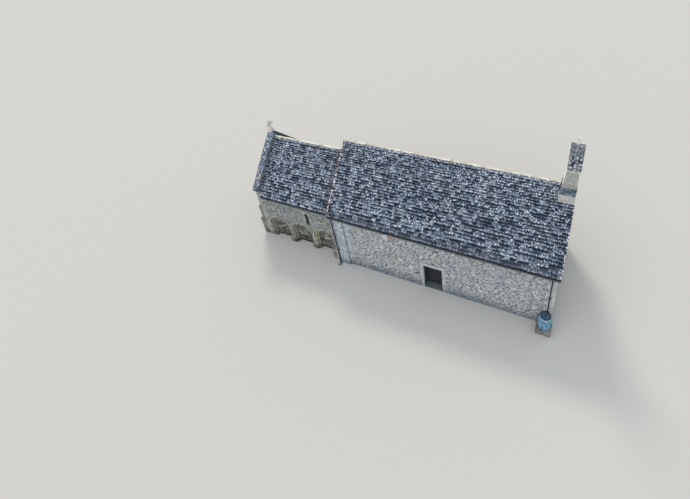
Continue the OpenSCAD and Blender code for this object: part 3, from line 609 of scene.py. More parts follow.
# Level ground, and the two upright planes through the middle of the building
WORLD = Face((0, 0, 0), (1, 0, 0), (0, 1, 0), (0, 0, 1))
ALONG = long_face(0, 1)
ACROSS = end_face(0, 1)


def steps(start, end, count):
    """Evenly spaced values with both ends."""
    return [start + (end - start) * i / count for i in range(count + 1)]


def spaced(start, end, pitch):
    """Evenly spaced stones from joint to joint, as near the pitch as they come."""
    marks = steps(start, end, max(1, round((end - start) / pitch)))
    return list(zip(marks, marks[1:]))


def ring(u, v, radius, w, count):
    """Points of a circle."""
    return [(u + radius * cos(a), v + radius * sin(a), w) for a in steps(0, 2 * pi, count)[:-1]]


def sweep(u, v, section, angles):
    """Rings of a section of (radius, out) turned round a point."""
    return [[(u + r * cos(a), v + r * sin(a), w) for r, w in section] for a in angles]


class Bank:
    """Collects the closed lumps of one piece. Each lump has three numbers of its own."""

    def __init__(self, seed):
        self.rng = random.Random(seed)
        self.points, self.faces, self.marks = [], [], []

    def mark(self, tone=None):
        """The numbers of a lump. tone is the first one, a range to draw it from, or all three."""
        if isinstance(tone, tuple):
            if len(tone) == 3:
                return tone
            tone = self.rng.uniform(*tone)
        return (self.rng.random() if tone is None else tone), self.rng.random(), self.rng.random()

    def add(self, face, points, faces, mark, wear_and_shading=None):
        start = len(self.points)
        wear_and_shading = wear_and_shading or [0.0]
        for i, p in enumerate(points):
            placed = face.point(*p)
            self.points.append((placed.x, placed.y, max(placed.z, 0.0)))
            self.marks += (mark[0] + wear_and_shading[i % len(wear_and_shading)], mark[1], mark[2])
        self.faces += [[start + i for i in f] for f in faces]

    def loft(self, face, rings, tone=None, wear_and_shading=None):
        """Joins closed loops of equal length in order, and closes both ends.

        wear_and_shading makes single points of the loop paler or darker than the stone: wear, and
        painted light and shade.
        """
        count, last = len(rings[0]), (len(rings) - 1) * len(rings[0])
        faces = [range(count), range(last, last + count)]
        for a in range(0, last, count):
            faces += [(a + i, a + (i + 1) % count, a + count + (i + 1) % count, a + count + i)
                      for i in range(count)]
        self.add(face, [p for loop in rings for p in loop], faces, self.mark(tone), wear_and_shading)

    def bar(self, face, section, ends, tone=None, wear_and_shading=None):
        """A straight length with one section, which lies in the face."""
        self.loft(face, [[(u, v, w) for u, v in section] for w in ends], tone, wear_and_shading)

    def block(self, face, near, far, chamfer=0.006, tone=None, wander=0.0):
        """A squared stone with its edges taken off."""
        mark = self.mark(tone) if tone else None
        middle = [(a + b) / 2 for a, b in zip(near, far)]
        cut = min([chamfer] + [abs(b - a) * 0.3 for a, b in zip(near, far)])
        points, corners = [], {}
        for key in product((0, 1), repeat=3):
            corner = [(near, far)[s][i] + self.rng.uniform(-wander, wander)
                      for i, s in enumerate(key)]
            corners[key] = len(points)
            points += [[c if i == axis else c + copysign(cut, middle[i] - c)
                        for i, c in enumerate(corner)] for axis in range(3)]
        self.add(face, points, block_faces(corners), mark or self.mark())

    def collar(self, face, u, v, radius, start, end, count=24, edge=0.004):
        """A short round bar with its edges taken off."""
        self.loft(face, [ring(u, v, r, w, count) for r, w in (
            (radius - edge, start), (radius, start + edge), (radius, end - edge),
            (radius - edge, end))])

    def piece(self, name, finish, slot, body="chapel", smooth=None):
        """Makes the object, and puts it on its body."""
        mesh = bpy.data.meshes.new(name)
        mesh.from_pydata(self.points, [], self.faces)
        work = bmesh.new()
        work.from_mesh(mesh)
        bmesh.ops.recalc_face_normals(work, faces=work.faces)
        work.to_mesh(mesh)
        work.free()
        mesh.attributes.new("stone", "FLOAT_VECTOR", "POINT").data.foreach_set("vector", self.marks)
        mesh.materials.append(finishes[finish])
        if smooth:
            mesh.shade_smooth()
            mesh.set_sharp_from_angle(angle=radians(smooth))
        made = bpy.data.objects.new(name, mesh)
        bpy.context.scene.collection.objects.link(made)
        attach(made, body)
        return made


def block_faces(corners):
    """Faces of a chamfered block: six sides, twelve edges and eight corners."""
    faces = []
    for axis in range(3):
        one, two = [i for i in range(3) if i != axis]

        def at(side, a, b):
            key = [0, 0, 0]
            key[axis], key[one], key[two] = side, a, b
            return corners[tuple(key)]

        for side in (0, 1):
            faces.append([at(side, a, b) + axis for a, b in ((0, 0), (1, 0), (1, 1), (0, 1))])
        for a, b in product((0, 1), repeat=2):
            p, q = at(0, a, b), at(1, a, b)
            faces.append((p + one, q + one, q + two, p + two))
    return faces + [(start, start + 1, start + 2) for start in corners.values()]


def paint(finish, *nodes):
    """Gives carried-over nodes a finish."""
    for node in nodes:
        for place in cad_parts[node].material_slots:
            place.material = finishes[finish]


# Slates

def lay_slates(bank, face, u_end, v_end, sizes, notch=None, cover=0.24, scale=1.0):
    """Courses of slates on a slope, large at the eave and small at the ridge.

    face lies on the roof with V up the slope. notch is (u, v): past u, slates stop at v.
    """
    v = -0.03 * scale
    while v < v_end - cover:
        share = max(0.0, v / v_end)
        gauge = (sizes.eave_gauge + (sizes.ridge_gauge - sizes.eave_gauge) * share) * scale
        mean = sizes.slate_width * (1.2 - 0.4 * share) * scale
        head = min(v + gauge * 1.28, v_end - 0.01)
        cut = notch and head > notch[1]
        u = 0.0
        while u < u_end - 0.001:
            width = mean * bank.rng.uniform(0.6, 1.5)
            if u + width > u_end - 0.4 * mean:
                width = u_end - u
            past = cut and u > notch[0] - 0.001
            if cut and not past and u + width > notch[0] - 0.05:
                width = notch[0] - u
            top = min(head, notch[1]) if past else head
            if top - v > 0.03:
                slate(bank, face, u, u + width, v, top, gauge, sizes.slate_thickness, scale)
            u += width
        v += gauge


def slate(bank, face, u0, u1, tail, head, gauge, thickness, scale):
    """One slate: its tail is chipped and stands on the slate below, its head is let in."""
    draw = bank.rng.uniform
    gap = draw(0.001, 0.005)
    u0, u1 = u0 + gap, u1 - gap
    tail += draw(-0.014, 0.01) * scale
    span, middle = u1 - u0, (u0 + u1) / 2
    left, right = [min(draw(0.004, 0.035) * scale, span * 0.3) for _ in range(2)]
    outline = [(u0, head), (u0 + draw(-0.001, 0.004), tail + left),
               (u0 + left * draw(0.5, 1.2), tail + draw(0, 0.006)),
               (u0 + span * draw(0.35, 0.65), tail - draw(0, 0.01) * scale),
               (u1 - right * draw(0.5, 1.2), tail + draw(0, 0.006)),
               (u1 - draw(-0.001, 0.004), tail + right), (u1, head)]
    thick = thickness * draw(0.75, 1.35)
    lift = 0.014 + thick + draw(-0.002, 0.005)
    fall = (thick + 0.004) / gauge
    lean = draw(-0.02, 0.02)
    low_end = tail + 0.05
    base, top = [], []
    for u, v in outline:
        level = max(0.002, lift - (v - tail) * fall) + (u - middle) * lean
        base.append((u, v, level - thick))
        top.append((middle + (u - middle) * (1 - 0.006 / span), v + 0.004 * (v < low_end), level))
    # the head is painted darker, partly dirt and partly painted shade under the slate above; rain keeps
    # the tail paler
    bank.loft(face, [base, top], (0.25, 0.8), [0.2 if v < low_end else -0.45 for _, v in outline])


def lay_ridge(bank, x0, x1, ridge, leg, length):
    """Ridge stones bent over both slopes, end to end on a mortar bed."""
    inner = 0.024 / cos(PITCH) - 0.004
    for a, b in spaced(x0, x1, length):
        a, b = a + 0.004, b - 0.004
        over = bank.rng.uniform(0, 0.006)
        reach = leg + bank.rng.uniform(-0.012, 0.012)
        y, drop = reach * cos(PITCH), -reach * sin(PITCH)
        rings = []
        for x, inset in ((a, 0.004), (a + 0.006, 0), (b - 0.006, 0), (b, 0.004)):
            outer = 0.04 / cos(PITCH) + over - inset
            brow, edge = drop + outer + 0.009, drop + outer - 0.006
            section = [(-y, drop + inner), (0, inner), (y, drop + inner), (y + 0.004, edge),
                       (y - 0.01, brow), (0.02, outer - 0.02), (0, outer - 0.006),
                       (-0.02, outer - 0.02), (0.01 - y, brow), (-y - 0.004, edge)]
            rings.append([(u, ridge + v, x) for u, v in section])
        bank.loft(ACROSS, rings, (0.55, 0.7))


# Rubble

def hole(inside, nearest):
    """A part of a wall that rubble keeps out of: a test, and a push to its nearest edge."""
    return inside, lambda u, v: nearest(u, v) if inside(u, v) else (u, v)


def rect_hole(u0, u1, v0, v1):
    """An upright rectangle."""
    return hole(lambda u, v: u0 < u < u1 and v0 < v < v1,
                lambda u, v: min((u - u0, u0, v), (u1 - u, u1, v), (v - v0, u, v0),
                                 (v1 - v, u, v1))[1:])


def round_hole(centre, level, radius, inner=0.0, floor=0.0, reach=99.0):
    """A disc, or a ring with a hole, over a level and within reach of its middle."""
    def inside(u, v):
        near = abs(u - centre) < reach and v > floor
        return near and inner < hypot(u - centre, v - level) < radius

    def nearest(u, v):
        r = hypot(u - centre, v - level) or 0.001
        to = radius if not inner or radius - r < r - inner else inner
        return centre + (u - centre) * to / r, level + (v - level) * to / r
    return hole(inside, nearest)


def roof_hole(half, wall):
    """The outline of a lower building that stands against a wall."""
    def top(u):
        return wall + (half - abs(u)) * SLOPE + ROOF_RISE + 0.02
    return hole(lambda u, v: abs(u) < half + EAVE and v < top(u), lambda u, v: (u, top(u)))


def lancet_hole(u, sill):
    """The dressed surround of a lancet window."""
    spring = sill + LANCET_HEIGHT - LANCET_HALF
    return [rect_hole(u - LANCET_REACH, u + LANCET_REACH, sill - LANCET_FRAME, spring),
            round_hole(u, spring, LANCET_REACH, floor=spring - 0.01)]


def lay_rubble(bank, face, ends, top, holes, sizes, scale=1.0, proud=(0.006, 0.02),
               tones=(0.17, 1.0)):
    """Rough courses of rubble over one face, between ends, up to top(u), round the holes."""
    draw = bank.rng.uniform
    phase = draw(0, 6)
    mean_rise, mean_run = sizes.course * scale, sizes.stone_length * scale
    limit = max(top(u) for u in steps(*ends, 2))
    # Share of thick stones that are laid as two thin ones, and of stones with an open joint painted as a
    # dark hole
    thin, open_joints = 0.35, 0.75

    def fit(u, v):
        wave = 0.018 * sin(0.9 * u + phase) + 0.009 * sin(2.9 * u + 1.7 * v)
        u, v = u + 0.012 * sin(2.3 * v + u), v + wave
        for _, push in holes:
            u, v = push(u, v)
        u = min(max(u, ends[0]), ends[1])
        return u, min(max(v, 0.0), top(u))

    def stone(u0, u1, v0, v1, lost=False):
        cu, cv = (u0 + u1) / 2, (v0 + v1) / 2
        if cv > top(min(max(cu, ends[0]), ends[1])) or any(inside(cu, cv) for inside, _ in holes):
            return
        gap = 0.002 if lost else sizes.joint * draw(0.35, 0.65)
        a, b, c, d = u0 + gap, u1 - gap, v0 + gap, v1 - gap
        if b - a < 0.02 or d - c < 0.015:
            return
        cut = min(b - a, d - c) * draw(0.1, 0.3)
        bulge = sizes.joint * 0.3
        outline = [(a + cut, c), (cu, c - bulge * bank.rng.random()), (b - cut, c),
                   (b, c + cut * draw(0.5, 1.2)), (b, d - cut * draw(0.5, 1.2)), (b - cut, d),
                   (cu, d + bulge * bank.rng.random()), (a + cut, d),
                   (a, d - cut * draw(0.5, 1.2)), (a, c + cut * draw(0.5, 1.2))]
        outline = [fit(u + draw(-0.003, 0.003), v + draw(-0.003, 0.003)) for u, v in outline]
        area = 0.5 * sum(p[0] * q[1] - q[0] * p[1]
                         for p, q in zip(outline, outline[1:] + outline[:1]))
        if area < 0.35 * (b - a) * (d - c):
            return
        cu, cv = [sum(part) / len(outline) for part in zip(*outline)]
        height = 0.001 if lost else draw(*proud)
        tilt_u, tilt_v = (0, 0) if lost else (draw(-0.03, 0.03), draw(-0.06, 0.03))
        shrink_u, shrink_v = [1 - min(0.3, 0.009 / max(0.01, side / 2)) for side in (b - a, d - c)]
        crown = [(cu + (u - cu) * shrink_u, cv + (v - cv) * shrink_v,
                  height + (u - cu) * tilt_u + (v - cv) * tilt_v) for u, v in outline]
        tone = bank.rng.choice((0.0, 0.0, 0.03, 0.07)) if lost else tones
        bank.loft(face, [[(u, v, -0.01) for u, v in outline], crown], tone)

    v = 0.0
    while v < limit:
        rise = mean_rise * draw(0.7, 1.4)
        u = ends[0]
        while u < ends[1] - 0.001:
            run = mean_run * bank.rng.choice((0.5, 0.75, 1.0, 1.0, 1.3, 1.7)) * draw(0.85, 1.15)
            if u + run > ends[1] - 0.4 * mean_run:
                run = ends[1] - u
            beds = [v, v + rise]
            if rise > mean_rise and bank.rng.random() < thin:
                beds.insert(1, v + rise * draw(0.4, 0.6))
            for bed, head in zip(beds, beds[1:]):
                stone(u, u + run, bed, head)
            u += run
            # a pinning stone is lost here: a flat near-black stone stands in its place, painted shade of
            # the hole
            wide = bank.rng.choice((1, 1, 1, 1.4)) * draw(0.06, 0.12)
            if u + wide < ends[1] - mean_run and bank.rng.random() < open_joints:
                tall = min(rise * 0.75, draw(0.04, 0.075))
                stone(u, u + wide, v, v + tall, True)
                stone(u, u + wide, v + tall, v + rise)
                u += wide
        v += rise


def quoin_levels(top, height, size):
    """Beds of the corner stones, and how far each one runs along either face."""
    return [(bed, head, *((size, size * 0.7) if i % 2 else (size * 0.7, size)))
            for i, (bed, head) in enumerate(spaced(0.0, top, height))]


def lay_quoins(bank, x, y, to_x, top, height, size):
    """Corner stones, long and short by turns. to_x and to_y point into the building."""
    to_y = -copysign(1, y)
    for bed, head, run_x, run_y in quoin_levels(top, height, size):
        out = 0.014 + bank.rng.uniform(0, 0.006)
        bank.block(WORLD, (x - to_x * out, y - to_y * out, bed + 0.003),
                   (x + to_x * run_x, y + to_y * run_y, head - 0.003), 0.008, (0.45, 1.0), 0.002)


def quoin_holes(end, into, top, height, which, size):
    """The room that the corner stones take on one face."""
    return [rect_hole(*sorted((end - into * 0.05, end + into * level[2 + which])),
                      level[0] - 0.001, level[1] + 0.001)
            for level in quoin_levels(top, height, size)]


# Operators

class CHAPEL_OT_stage(bpy.types.Operator):
    """Sets the floor, the lights and the camera"""

    bl_idname = "chapel.stage"
    bl_label = "Stage and camera"

    def execute(self, context):
        scene = context.scene
        scene.view_settings.view_transform = "Standard"
        mesh = bpy.data.meshes.new("floor")
        mesh.from_pydata(ring(0, 0, FLOOR_RADIUS, 0, 48), [], [range(48)])
        mesh.materials.append(finishes["stage_floor"])
        floor = bpy.data.objects.new("floor", mesh)
        scene.collection.objects.link(floor)

        world = bpy.data.worlds.new("studio")
        scene.world = world
        world.use_nodes = True
        tree = world.node_tree
        tree.nodes.clear()
        rays = add(tree, "LightPath").outputs
        seen = add(tree, "Math", {0: rays["Is Camera Ray"], 1: rays["Is Glossy Ray"]},
                   operation="MAXIMUM")
        seen = add(tree, "Math", {0: seen, 1: rays["Is Transmission Ray"]}, operation="MAXIMUM")
        light = add(tree, "Background", {"Color": linear("#eff4fb"), "Strength": 0.9})
        shown = add(tree, "Background", {"Color": linear("#dbd9d5"), "Strength": 1.0})
        mixed = add(tree, "MixShader", {0: seen, 1: light, 2: shown})
        add(tree, "OutputWorld", {"Surface": mixed})

        # the key comes from behind the chancel end, the fill from in front of the doorway wall
        for name, energy, angle, colour, towards in (
                ("key", 1.25, 14, "#fff4e2", (-0.45, 0.62, 0.8)),
                ("fill", 0.8, 70, "#f6f9ff", (-0.3, -0.8, 0.5))):
            sun = bpy.data.lights.new(name, "SUN")
            sun.energy, sun.angle, sun.color = energy, radians(angle), linear(colour)[:3]
            lamp = bpy.data.objects.new(name, sun)
            scene.collection.objects.link(lamp)
            lamp.rotation_euler = Vector(towards).to_track_quat("Z", "Y").to_euler()

        lens = bpy.data.cameras.new("camera")
        lens.sensor_width = 36.0
        lens.lens = 21.81
        # the photo is a crop from the lower left of a wider picture
        lens.shift_x = -0.1087
        lens.shift_y = -0.1587
        lens.clip_end = 500.0
        camera = bpy.data.objects.new("camera", lens)
        scene.collection.objects.link(camera)
        camera.location = (6.0, -16.014, 19.928)
        camera.rotation_euler = [radians(a) for a in (55.65, 3.834, 22.593)]
        scene.camera = camera
        return {"FINISHED"}


class CHAPEL_OT_slates(bpy.types.Operator):
    """Lays the stone slates on both roofs, and points the verges"""

    bl_idname = "chapel.slates"
    bl_label = "Stone slates"

    def execute(self, context):
        bell_stop = (NAVE_HALF + EAVE - BELL_HALF) / cos(PITCH)
        for name, half, ridge in (("nave", NAVE_HALF, NAVE_RIDGE),
                                  ("chancel", CHANCEL_HALF, CHANCEL_RIDGE)):
            x0, x1 = low(name + "_roof_north").x, high(name + "_roof_north").x
            notch = (BELL_X0 - x0, bell_stop) if name == "nave" else None
            for side, label in SIDES:
                bank = Bank(21 + side + len(name))
                lay_slates(bank, roof_face(x0, half, ridge, side), x1 - x0,
                           (half + EAVE) / cos(PITCH), context.scene.chapel_sizes, notch)
                bank.piece(f"slates_{name}_{label}", "stone_slate", "stone_slate")
        bank = Bank(31)
        draw = bank.rng.uniform
        for x, width, stop in (
                (NAVE_X0 - VERGE + 0.006, 0.1, (NAVE_HALF + EAVE) / cos(PITCH) - 0.2),
                (NAVE_X1 + VERGE - 0.008, -0.035, bell_stop)):
            for side, _ in SIDES:
                face = roof_face(x, NAVE_HALF, NAVE_RIDGE, side)
                v = -0.02
                while v < stop - 0.1:
                    # a lump of mortar under the tail of each verge slate
                    size = draw(0.06, 0.1) if v > 0 else 0.15
                    wide = width * (draw(0.7, 1.2) if v > 0 else 1.9)
                    bank.block(face, (0.0, v, -0.02), (wide, v + size, draw(0.04, 0.058)), 0.016,
                               wander=0.006)
                    v += size + draw(0.02, 0.09)
        bank.piece("verge_pointing", "verge_mortar", "ridge_stone")
        # the roof nodes under the slates are painted near black: painted shade in the gaps
        paint("painted_shade", "nave_roof_north", "nave_roof_south", "chancel_roof_north",
              "chancel_roof_south")
        return {"FINISHED"}


class CHAPEL_OT_ridges(bpy.types.Operator):
    """Lays the ridge stones of nave and chancel"""

    bl_idname = "chapel.ridges"
    bl_label = "Ridge stones"

    def execute(self, context):
        length = context.scene.chapel_sizes.ridge_stone
        for name, ridge in (("nave", NAVE_RIDGE), ("chancel", CHANCEL_RIDGE)):
            near, far = low(name + "_ridge_tiles"), high(name + "_ridge_tiles")
            bank = Bank(41 + len(name))
            lay_ridge(bank, near.x, far.x, ridge, far.y / cos(PITCH), length)
            # The legs take the slates' dark finish, partly lichens and partly painted shade; the crest's
            # near-white finish is partly painted sunlight
            bank.piece(f"ridge_legs_{name}", "stone_slate", "ridge_stone")
            bank = Bank(44 + len(name))
            for a, b in spaced(near.x, far.x, length):
                z = ridge + 0.04 / cos(PITCH) + bank.rng.uniform(0.0, 0.006)
                section = [(-0.05, z - 0.07), (0.05, z - 0.07), (0.055, z - 0.05),
                           (0.018, z - 0.004), (0, z + 0.004), (-0.018, z - 0.004),
                           (-0.055, z - 0.05)]
                bank.bar(ACROSS, section, (a + 0.003, b - 0.003))
            bank.piece(f"ridge_stones_{name}", "ridge_stone", "ridge_stone")
            paint("joint_mortar", name + "_ridge_tiles")
        return {"FINISHED"}


class CHAPEL_OT_coping(bpy.types.Operator):
    """Lays the coping stones of the chancel gable and finishes its cross"""

    bl_idname = "chapel.coping"
    bl_label = "Gable coping"

    def execute(self, context):
        near, far = low("gable_coping"), high("gable_coping")
        run = far.y
        thick = far.z - (near.z + run * SLOPE)
        bank = Bank(51)
        for side, _ in SIDES:
            face = pitched_face(near.x, side * run, near.z + thick, side)
            for start, end in spaced(0.0, run / cos(PITCH), context.scene.chapel_sizes.coping_stone):
                foot = start + (0.004 if start else -0.016)
                bank.block(face, (-0.006, foot, -thick * cos(PITCH)),
                           (far.x - near.x + 0.006, end - 0.004, 0.008), 0.014, wander=0.003)
        bank.piece("coping_stones", "coping_stone", "coping_stone")
        bank = Bank(52)
        bank.block(pitched_face(near.x, -run, near.z + thick, -1), (0.2, 0.62, -0.02),
                   (0.35, 0.98, 0.014), 0.012, (0.05, 0.5, 0.5), 0.012)
        bank.piece("coping_repair", "window_stones", "coping_stone")
        # the coping's core is painted near black: a painted shadow line between the coping and the slates
        paint("painted_shade", "gable_coping")
        paint("cross_stone", "gable_cross", "bellcote_finial")
        return {"FINISHED"}


class CHAPEL_OT_rubble(bpy.types.Operator):
    """Builds the rubble of every wall, with its corner stones"""

    bl_idname = "chapel.rubble"
    bl_label = "Rubble walls"

    def execute(self, context):
        sizes = context.scene.chapel_sizes
        nave = (NAVE_WALL, sizes.ashlar_course)
        chancel = (CHANCEL_WALL, sizes.ashlar_course)

        def flat(level):
            return lambda u: level - 0.005

        def gable(half, wall):
            return lambda u: wall + (half - abs(u)) * SLOPE - 0.01

        def side_quoins(half, place, size):
            return quoin_holes(-half, 1, *place, 1, size) + quoin_holes(half, -1, *place, 1, size)

        corner = quoin_holes(NAVE_X1, -1, *nave, 0, NAVE_QUOIN)
        front = corner + [rect_hole(PILASTER_END - 1, end, bed, head + 0.001)
                          for end, bed, head in STRIP]
        front += [rect_hole(DOOR_X - DOOR_HALF, DOOR_X + DOOR_HALF, -1, LINTEL_TOP),
                  round_hole(DOOR_X, RELIEF_Z, RELIEF_OUTER + 0.01, RELIEF_INNER - 0.01,
                             LINTEL_TOP + 0.05, RELIEF_OUTER * sin(RELIEF_ANGLE))]
        front += [rect_hole(*place) for place in WALL_MARKS]
        # a hole is smaller than a stone, so the stones whose middles are near it go too
        front += [(rect_hole(u0 - 0.08, u1 + 0.08, v0 - 0.04, v1 + 0.04)[0],
                   rect_hole(u0, u1, v0, v1)[1]) for u0, u1, v0, v1 in WALL_HOLES]
        windows = [h for u in NAVE_LANCETS for h in lancet_hole(u, LANCET_SILL)]
        arches = []
        for x in ARCH_X:
            arches += [rect_hole(x - RECESS, x + RECESS, -1, SPRING),
                       round_hole(x, SPRING, RECESS, floor=SPRING - 0.01)]
        for x in ARCH_X[:-1]:
            x -= ARCH_PITCH / 2
            arches.append(rect_hole(x - PIER_HALF - 0.01, x + PIER_HALF + 0.01, -1, SPRING + 0.05))
        arches += lancet_hole(CHANCEL_LANCET_X, LANCET_SILL)
        arches += quoin_holes(CHANCEL_X0, 1, *chancel, 0, CHANCEL_QUOIN)
        nave_run, chancel_run = (PILASTER_END, NAVE_X1), (CHANCEL_X0, NAVE_X0)
        nave_gable = gable(NAVE_HALF, NAVE_WALL)
        east = side_quoins(CHANCEL_HALF, chancel, CHANCEL_QUOIN) + lancet_hole(0.0, EAST_SILL)
        for seed, name, slot, face, ends, top, holes, scale in (
                (61, "nave_front", "rubble", long_face(NAVE_HALF, -1), nave_run, flat(NAVE_WALL),
                 front, 1.0),
                (62, "nave_back", "rubble", long_face(NAVE_HALF, 1), nave_run, flat(NAVE_WALL),
                 corner + windows, 1.0),
                (63, "west_gable", "rubble", end_face(NAVE_X1, 1), (-NAVE_HALF, NAVE_HALF),
                 nave_gable, side_quoins(NAVE_HALF, nave, NAVE_QUOIN), 1.0),
                (64, "east_gable", "rubble", end_face(NAVE_X0, -1),
                 (-NAVE_HALF + 0.3, NAVE_HALF - 0.3), nave_gable,
                 [roof_hole(CHANCEL_HALF, CHANCEL_WALL)], 1.0),
                (64, "chancel_front", "grey_rubble", long_face(CHANCEL_HALF, -1), chancel_run,
                 flat(CHANCEL_WALL), arches, 0.95),
                (66, "chancel_back", "grey_rubble", long_face(CHANCEL_HALF, 1), chancel_run,
                 flat(CHANCEL_WALL), arches, 0.95),
                (68, "chancel_gable", "grey_rubble", end_face(CHANCEL_X0, -1),
                 (-CHANCEL_HALF, CHANCEL_HALF), gable(CHANCEL_HALF, CHANCEL_WALL + 0.3), east,
                 0.95)):
            bank = Bank(seed)
            lay_rubble(bank, face, ends, top, holes, sizes, scale)
            bank.piece("rubble_" + name, "grey_rubble" if name == "east_gable" else slot, slot)

        bank = Bank(69)
        for side, _ in SIDES:
            for x in ARCH_X:
                def crown(u, x=x):
                    return SPRING + sqrt(max(0.0, ARCH_RADIUS ** 2 - (u - x) ** 2))
                lay_rubble(bank, long_face(CHANCEL_HALF - ARCADE_DEPTH, side),
                           (x - ARCH_RADIUS, x + ARCH_RADIUS), crown, [], sizes, 1.25, (0.01, 0.03),
                           (0.0, 1.0))
        bank.piece("rubble_infill", "infill_rubble", "grey_rubble")

        for seed, name, finish, slot, x, half, to_x, place, size in (
                (70, "nave", "nave_quoin", "dressed_stone", NAVE_X1, NAVE_HALF, -1, nave, NAVE_QUOIN),
                (73, "chancel", "chancel_quoin", "grey_rubble", CHANCEL_X0, CHANCEL_HALF, 1, chancel,
                 CHANCEL_QUOIN)):
            bank = Bank(seed)
            for y in (-half, half):
                lay_quoins(bank, x, y, to_x, *place, size)
            bank.piece("quoins_" + name, finish, slot)

        bank = Bank(71)
        face = long_face(NAVE_HALF, -1)
        for (u0, u1, v0, v1), tone in zip(WALL_MARKS, (0.95, 0.45)):
            bank.block(face, (u0, v0, -0.01), (u1, v1, 0.016), 0.01, (tone, 0.3, 0.8), 0.01)
        bank.piece("blocked_window_stones", "window_stones", "rubble")
        # The holes are flat near-black plates on the wall: painted shade of their depth
        bank = Bank(72)
        for u0, u1, v0, v1 in WALL_HOLES:
            bank.block(face, (u0, v0, -0.01), (u1, v1, 0.002), 0.001)
        bank.piece("putlog_holes", "hole", "rubble")
        paint("nave_mortar", "nave_north_wall_east", "nave_north_wall_west", "nave_wall_over_door",
              "nave_south_wall", "nave_east_gable", "nave_west_gable")
        paint("chancel_mortar", "chancel_north_wall", "chancel_south_wall", "chancel_east_gable")
        paint("floor_stone", "nave_floor", "chancel_floor")
        return {"FINISHED"}


class CHAPEL_OT_ashlar(bpy.types.Operator):
    """Builds the pilasters, the corner stub and the buttresses of squared stone"""

    bl_idname = "chapel.ashlar"
    bl_label = "Pilasters and buttresses"

    def execute(self, context):
        course = context.scene.chapel_sizes.ashlar_course
        bank = Bank(81)
        out = PILASTER_FACE - NAVE_HALF + 0.006
        inner = CHANCEL_HALF - NAVE_HALF + 0.01
        for side, _ in SIDES:
            for row, (bed, head) in enumerate(spaced(0.0, NAVE_WALL - 0.09, course * 1.3)):
                step = 0.014 if bed < 1.1 else 0.0
                cut = NAVE_X0 + (0.3 if row % 2 else 0.46)
                for a, b in ((NAVE_X0 - 0.012, cut), (cut, PILASTER_END + 0.006)):
                    bank.block(long_face(NAVE_HALF, side),
                               (a + 0.0015, bed + 0.0015, inner if a < NAVE_X0 else -0.05),
                               (b - 0.0015, head - 0.0015, out + step), 0.004, wander=0.001)
        for end, bed, head in STRIP:
            head = min(head, NAVE_WALL - 0.02)
            if head - bed > 0.1:
                bank.block(long_face(NAVE_HALF, -1), (PILASTER_END + 0.01, bed, -0.04),
                           (end - 0.005, head - 0.003, 0.016), 0.006, wander=0.002)
        bank.piece("pilaster_stones", "ashlar", "ashlar")
        paint("joint_mortar", "nave_pilasters")

        (lower, upper, ledge, sill), (_, _, top, _) = BUTTRESS_STAGES
        courses = [(a, b, lower) for a, b in spaced(0.0, ledge - 0.04, BUTTRESS_COURSE)]
        courses += [(a, b, upper) for a, b in spaced(sill, top - 0.04, BUTTRESS_COURSE)]
        bank, slopes, cores = Bank(82), Bank(83), Bank(84)
        for side, _ in SIDES:
            y0, y1 = sorted((side * CHANCEL_HALF, side * (CHANCEL_HALF - BUTTRESS_WIDTH)))
            for bed, head, reach in courses:
                middle = (y0 + y1) / 2 + bank.rng.uniform(-0.12, 0.12)
                for a, b in ((y0 - 0.008, middle), (middle, y1 + 0.008)):
                    bank.block(WORLD, (CHANCEL_X0 - reach + 0.005, a + 0.003, bed + 0.004),
                               (CHANCEL_X0 - 0.02, b - 0.003, head - 0.004), 0.012, wander=0.004)
            for reach, back, foot, top in BUTTRESS_STAGES:
                cores.block(WORLD, (CHANCEL_X0 - reach + 0.02, y0 + 0.006, 0.0),
                            (CHANCEL_X0 - 0.01, y1 - 0.006, foot), 0.002)
                section = [(CHANCEL_X0 - u, v) for u, v in (
                    (reach - 0.004, foot - 0.05), (reach - 0.004, foot), (back + 0.006, top - 0.006),
                    (back - 0.04, top - 0.006), (back - 0.04, foot - 0.05))]
                for a, b in spaced(y0 - 0.006, y1 + 0.006, 0.32):
                    slopes.bar(ALONG, section, (a + 0.002, b - 0.002))
        bank.piece("buttress_stones", "buttress_stone", "dressed_stone")
        core = cores.piece("buttress_core", "joint_mortar", "dressed_stone")
        slopes.piece("buttress_slopes", "buttress_stone", "dressed_stone")
        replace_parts(core, "east_buttresses")
        bank = Bank(85)
        near, far = low("corner_stub"), high("corner_stub")
        for bed, head in spaced(0.0, far.z - 0.1, STUB_COURSE):
            bank.block(WORLD, (near.x - 0.01, near.y - 0.012, bed + 0.004),
                       (far.x, far.y, head - 0.004), 0.014, wander=0.006)
        bank.piece("stub_stones", "stub_stone", "dressed_stone")
        paint("stub_stone", "corner_stub")
        return {"FINISHED"}


def order_section(start, depth):
    """Section of one order, as (radius, out): a square block with a roll on its edge.

    The second list is how pale each point is: noses paler and hollows darker, partly wear and dirt,
    partly painted light and shade.
    """
    base, face = -ARCADE_DEPTH - 0.01, depth - ARCADE_DEPTH
    points = [(start, base), (start, face - 2 * ROLL)]
    wear_and_shading = [-0.4, -0.3]
    for a in map(radians, range(215, -60, -35)):
        points.append((start + ROLL + ROLL * cos(a), face - ROLL + ROLL * sin(a)))
        wear_and_shading.append(0.4 * sin(a) + 0.05)
    points += [(start + 2 * ROLL + 0.003, face - 1.3 * ROLL), (start + 2 * ROLL + 0.006, face),
               (start + ORDER, face), (start + ORDER, base)]
    return points, wear_and_shading + [-0.6, -0.15, -0.15, -0.5]


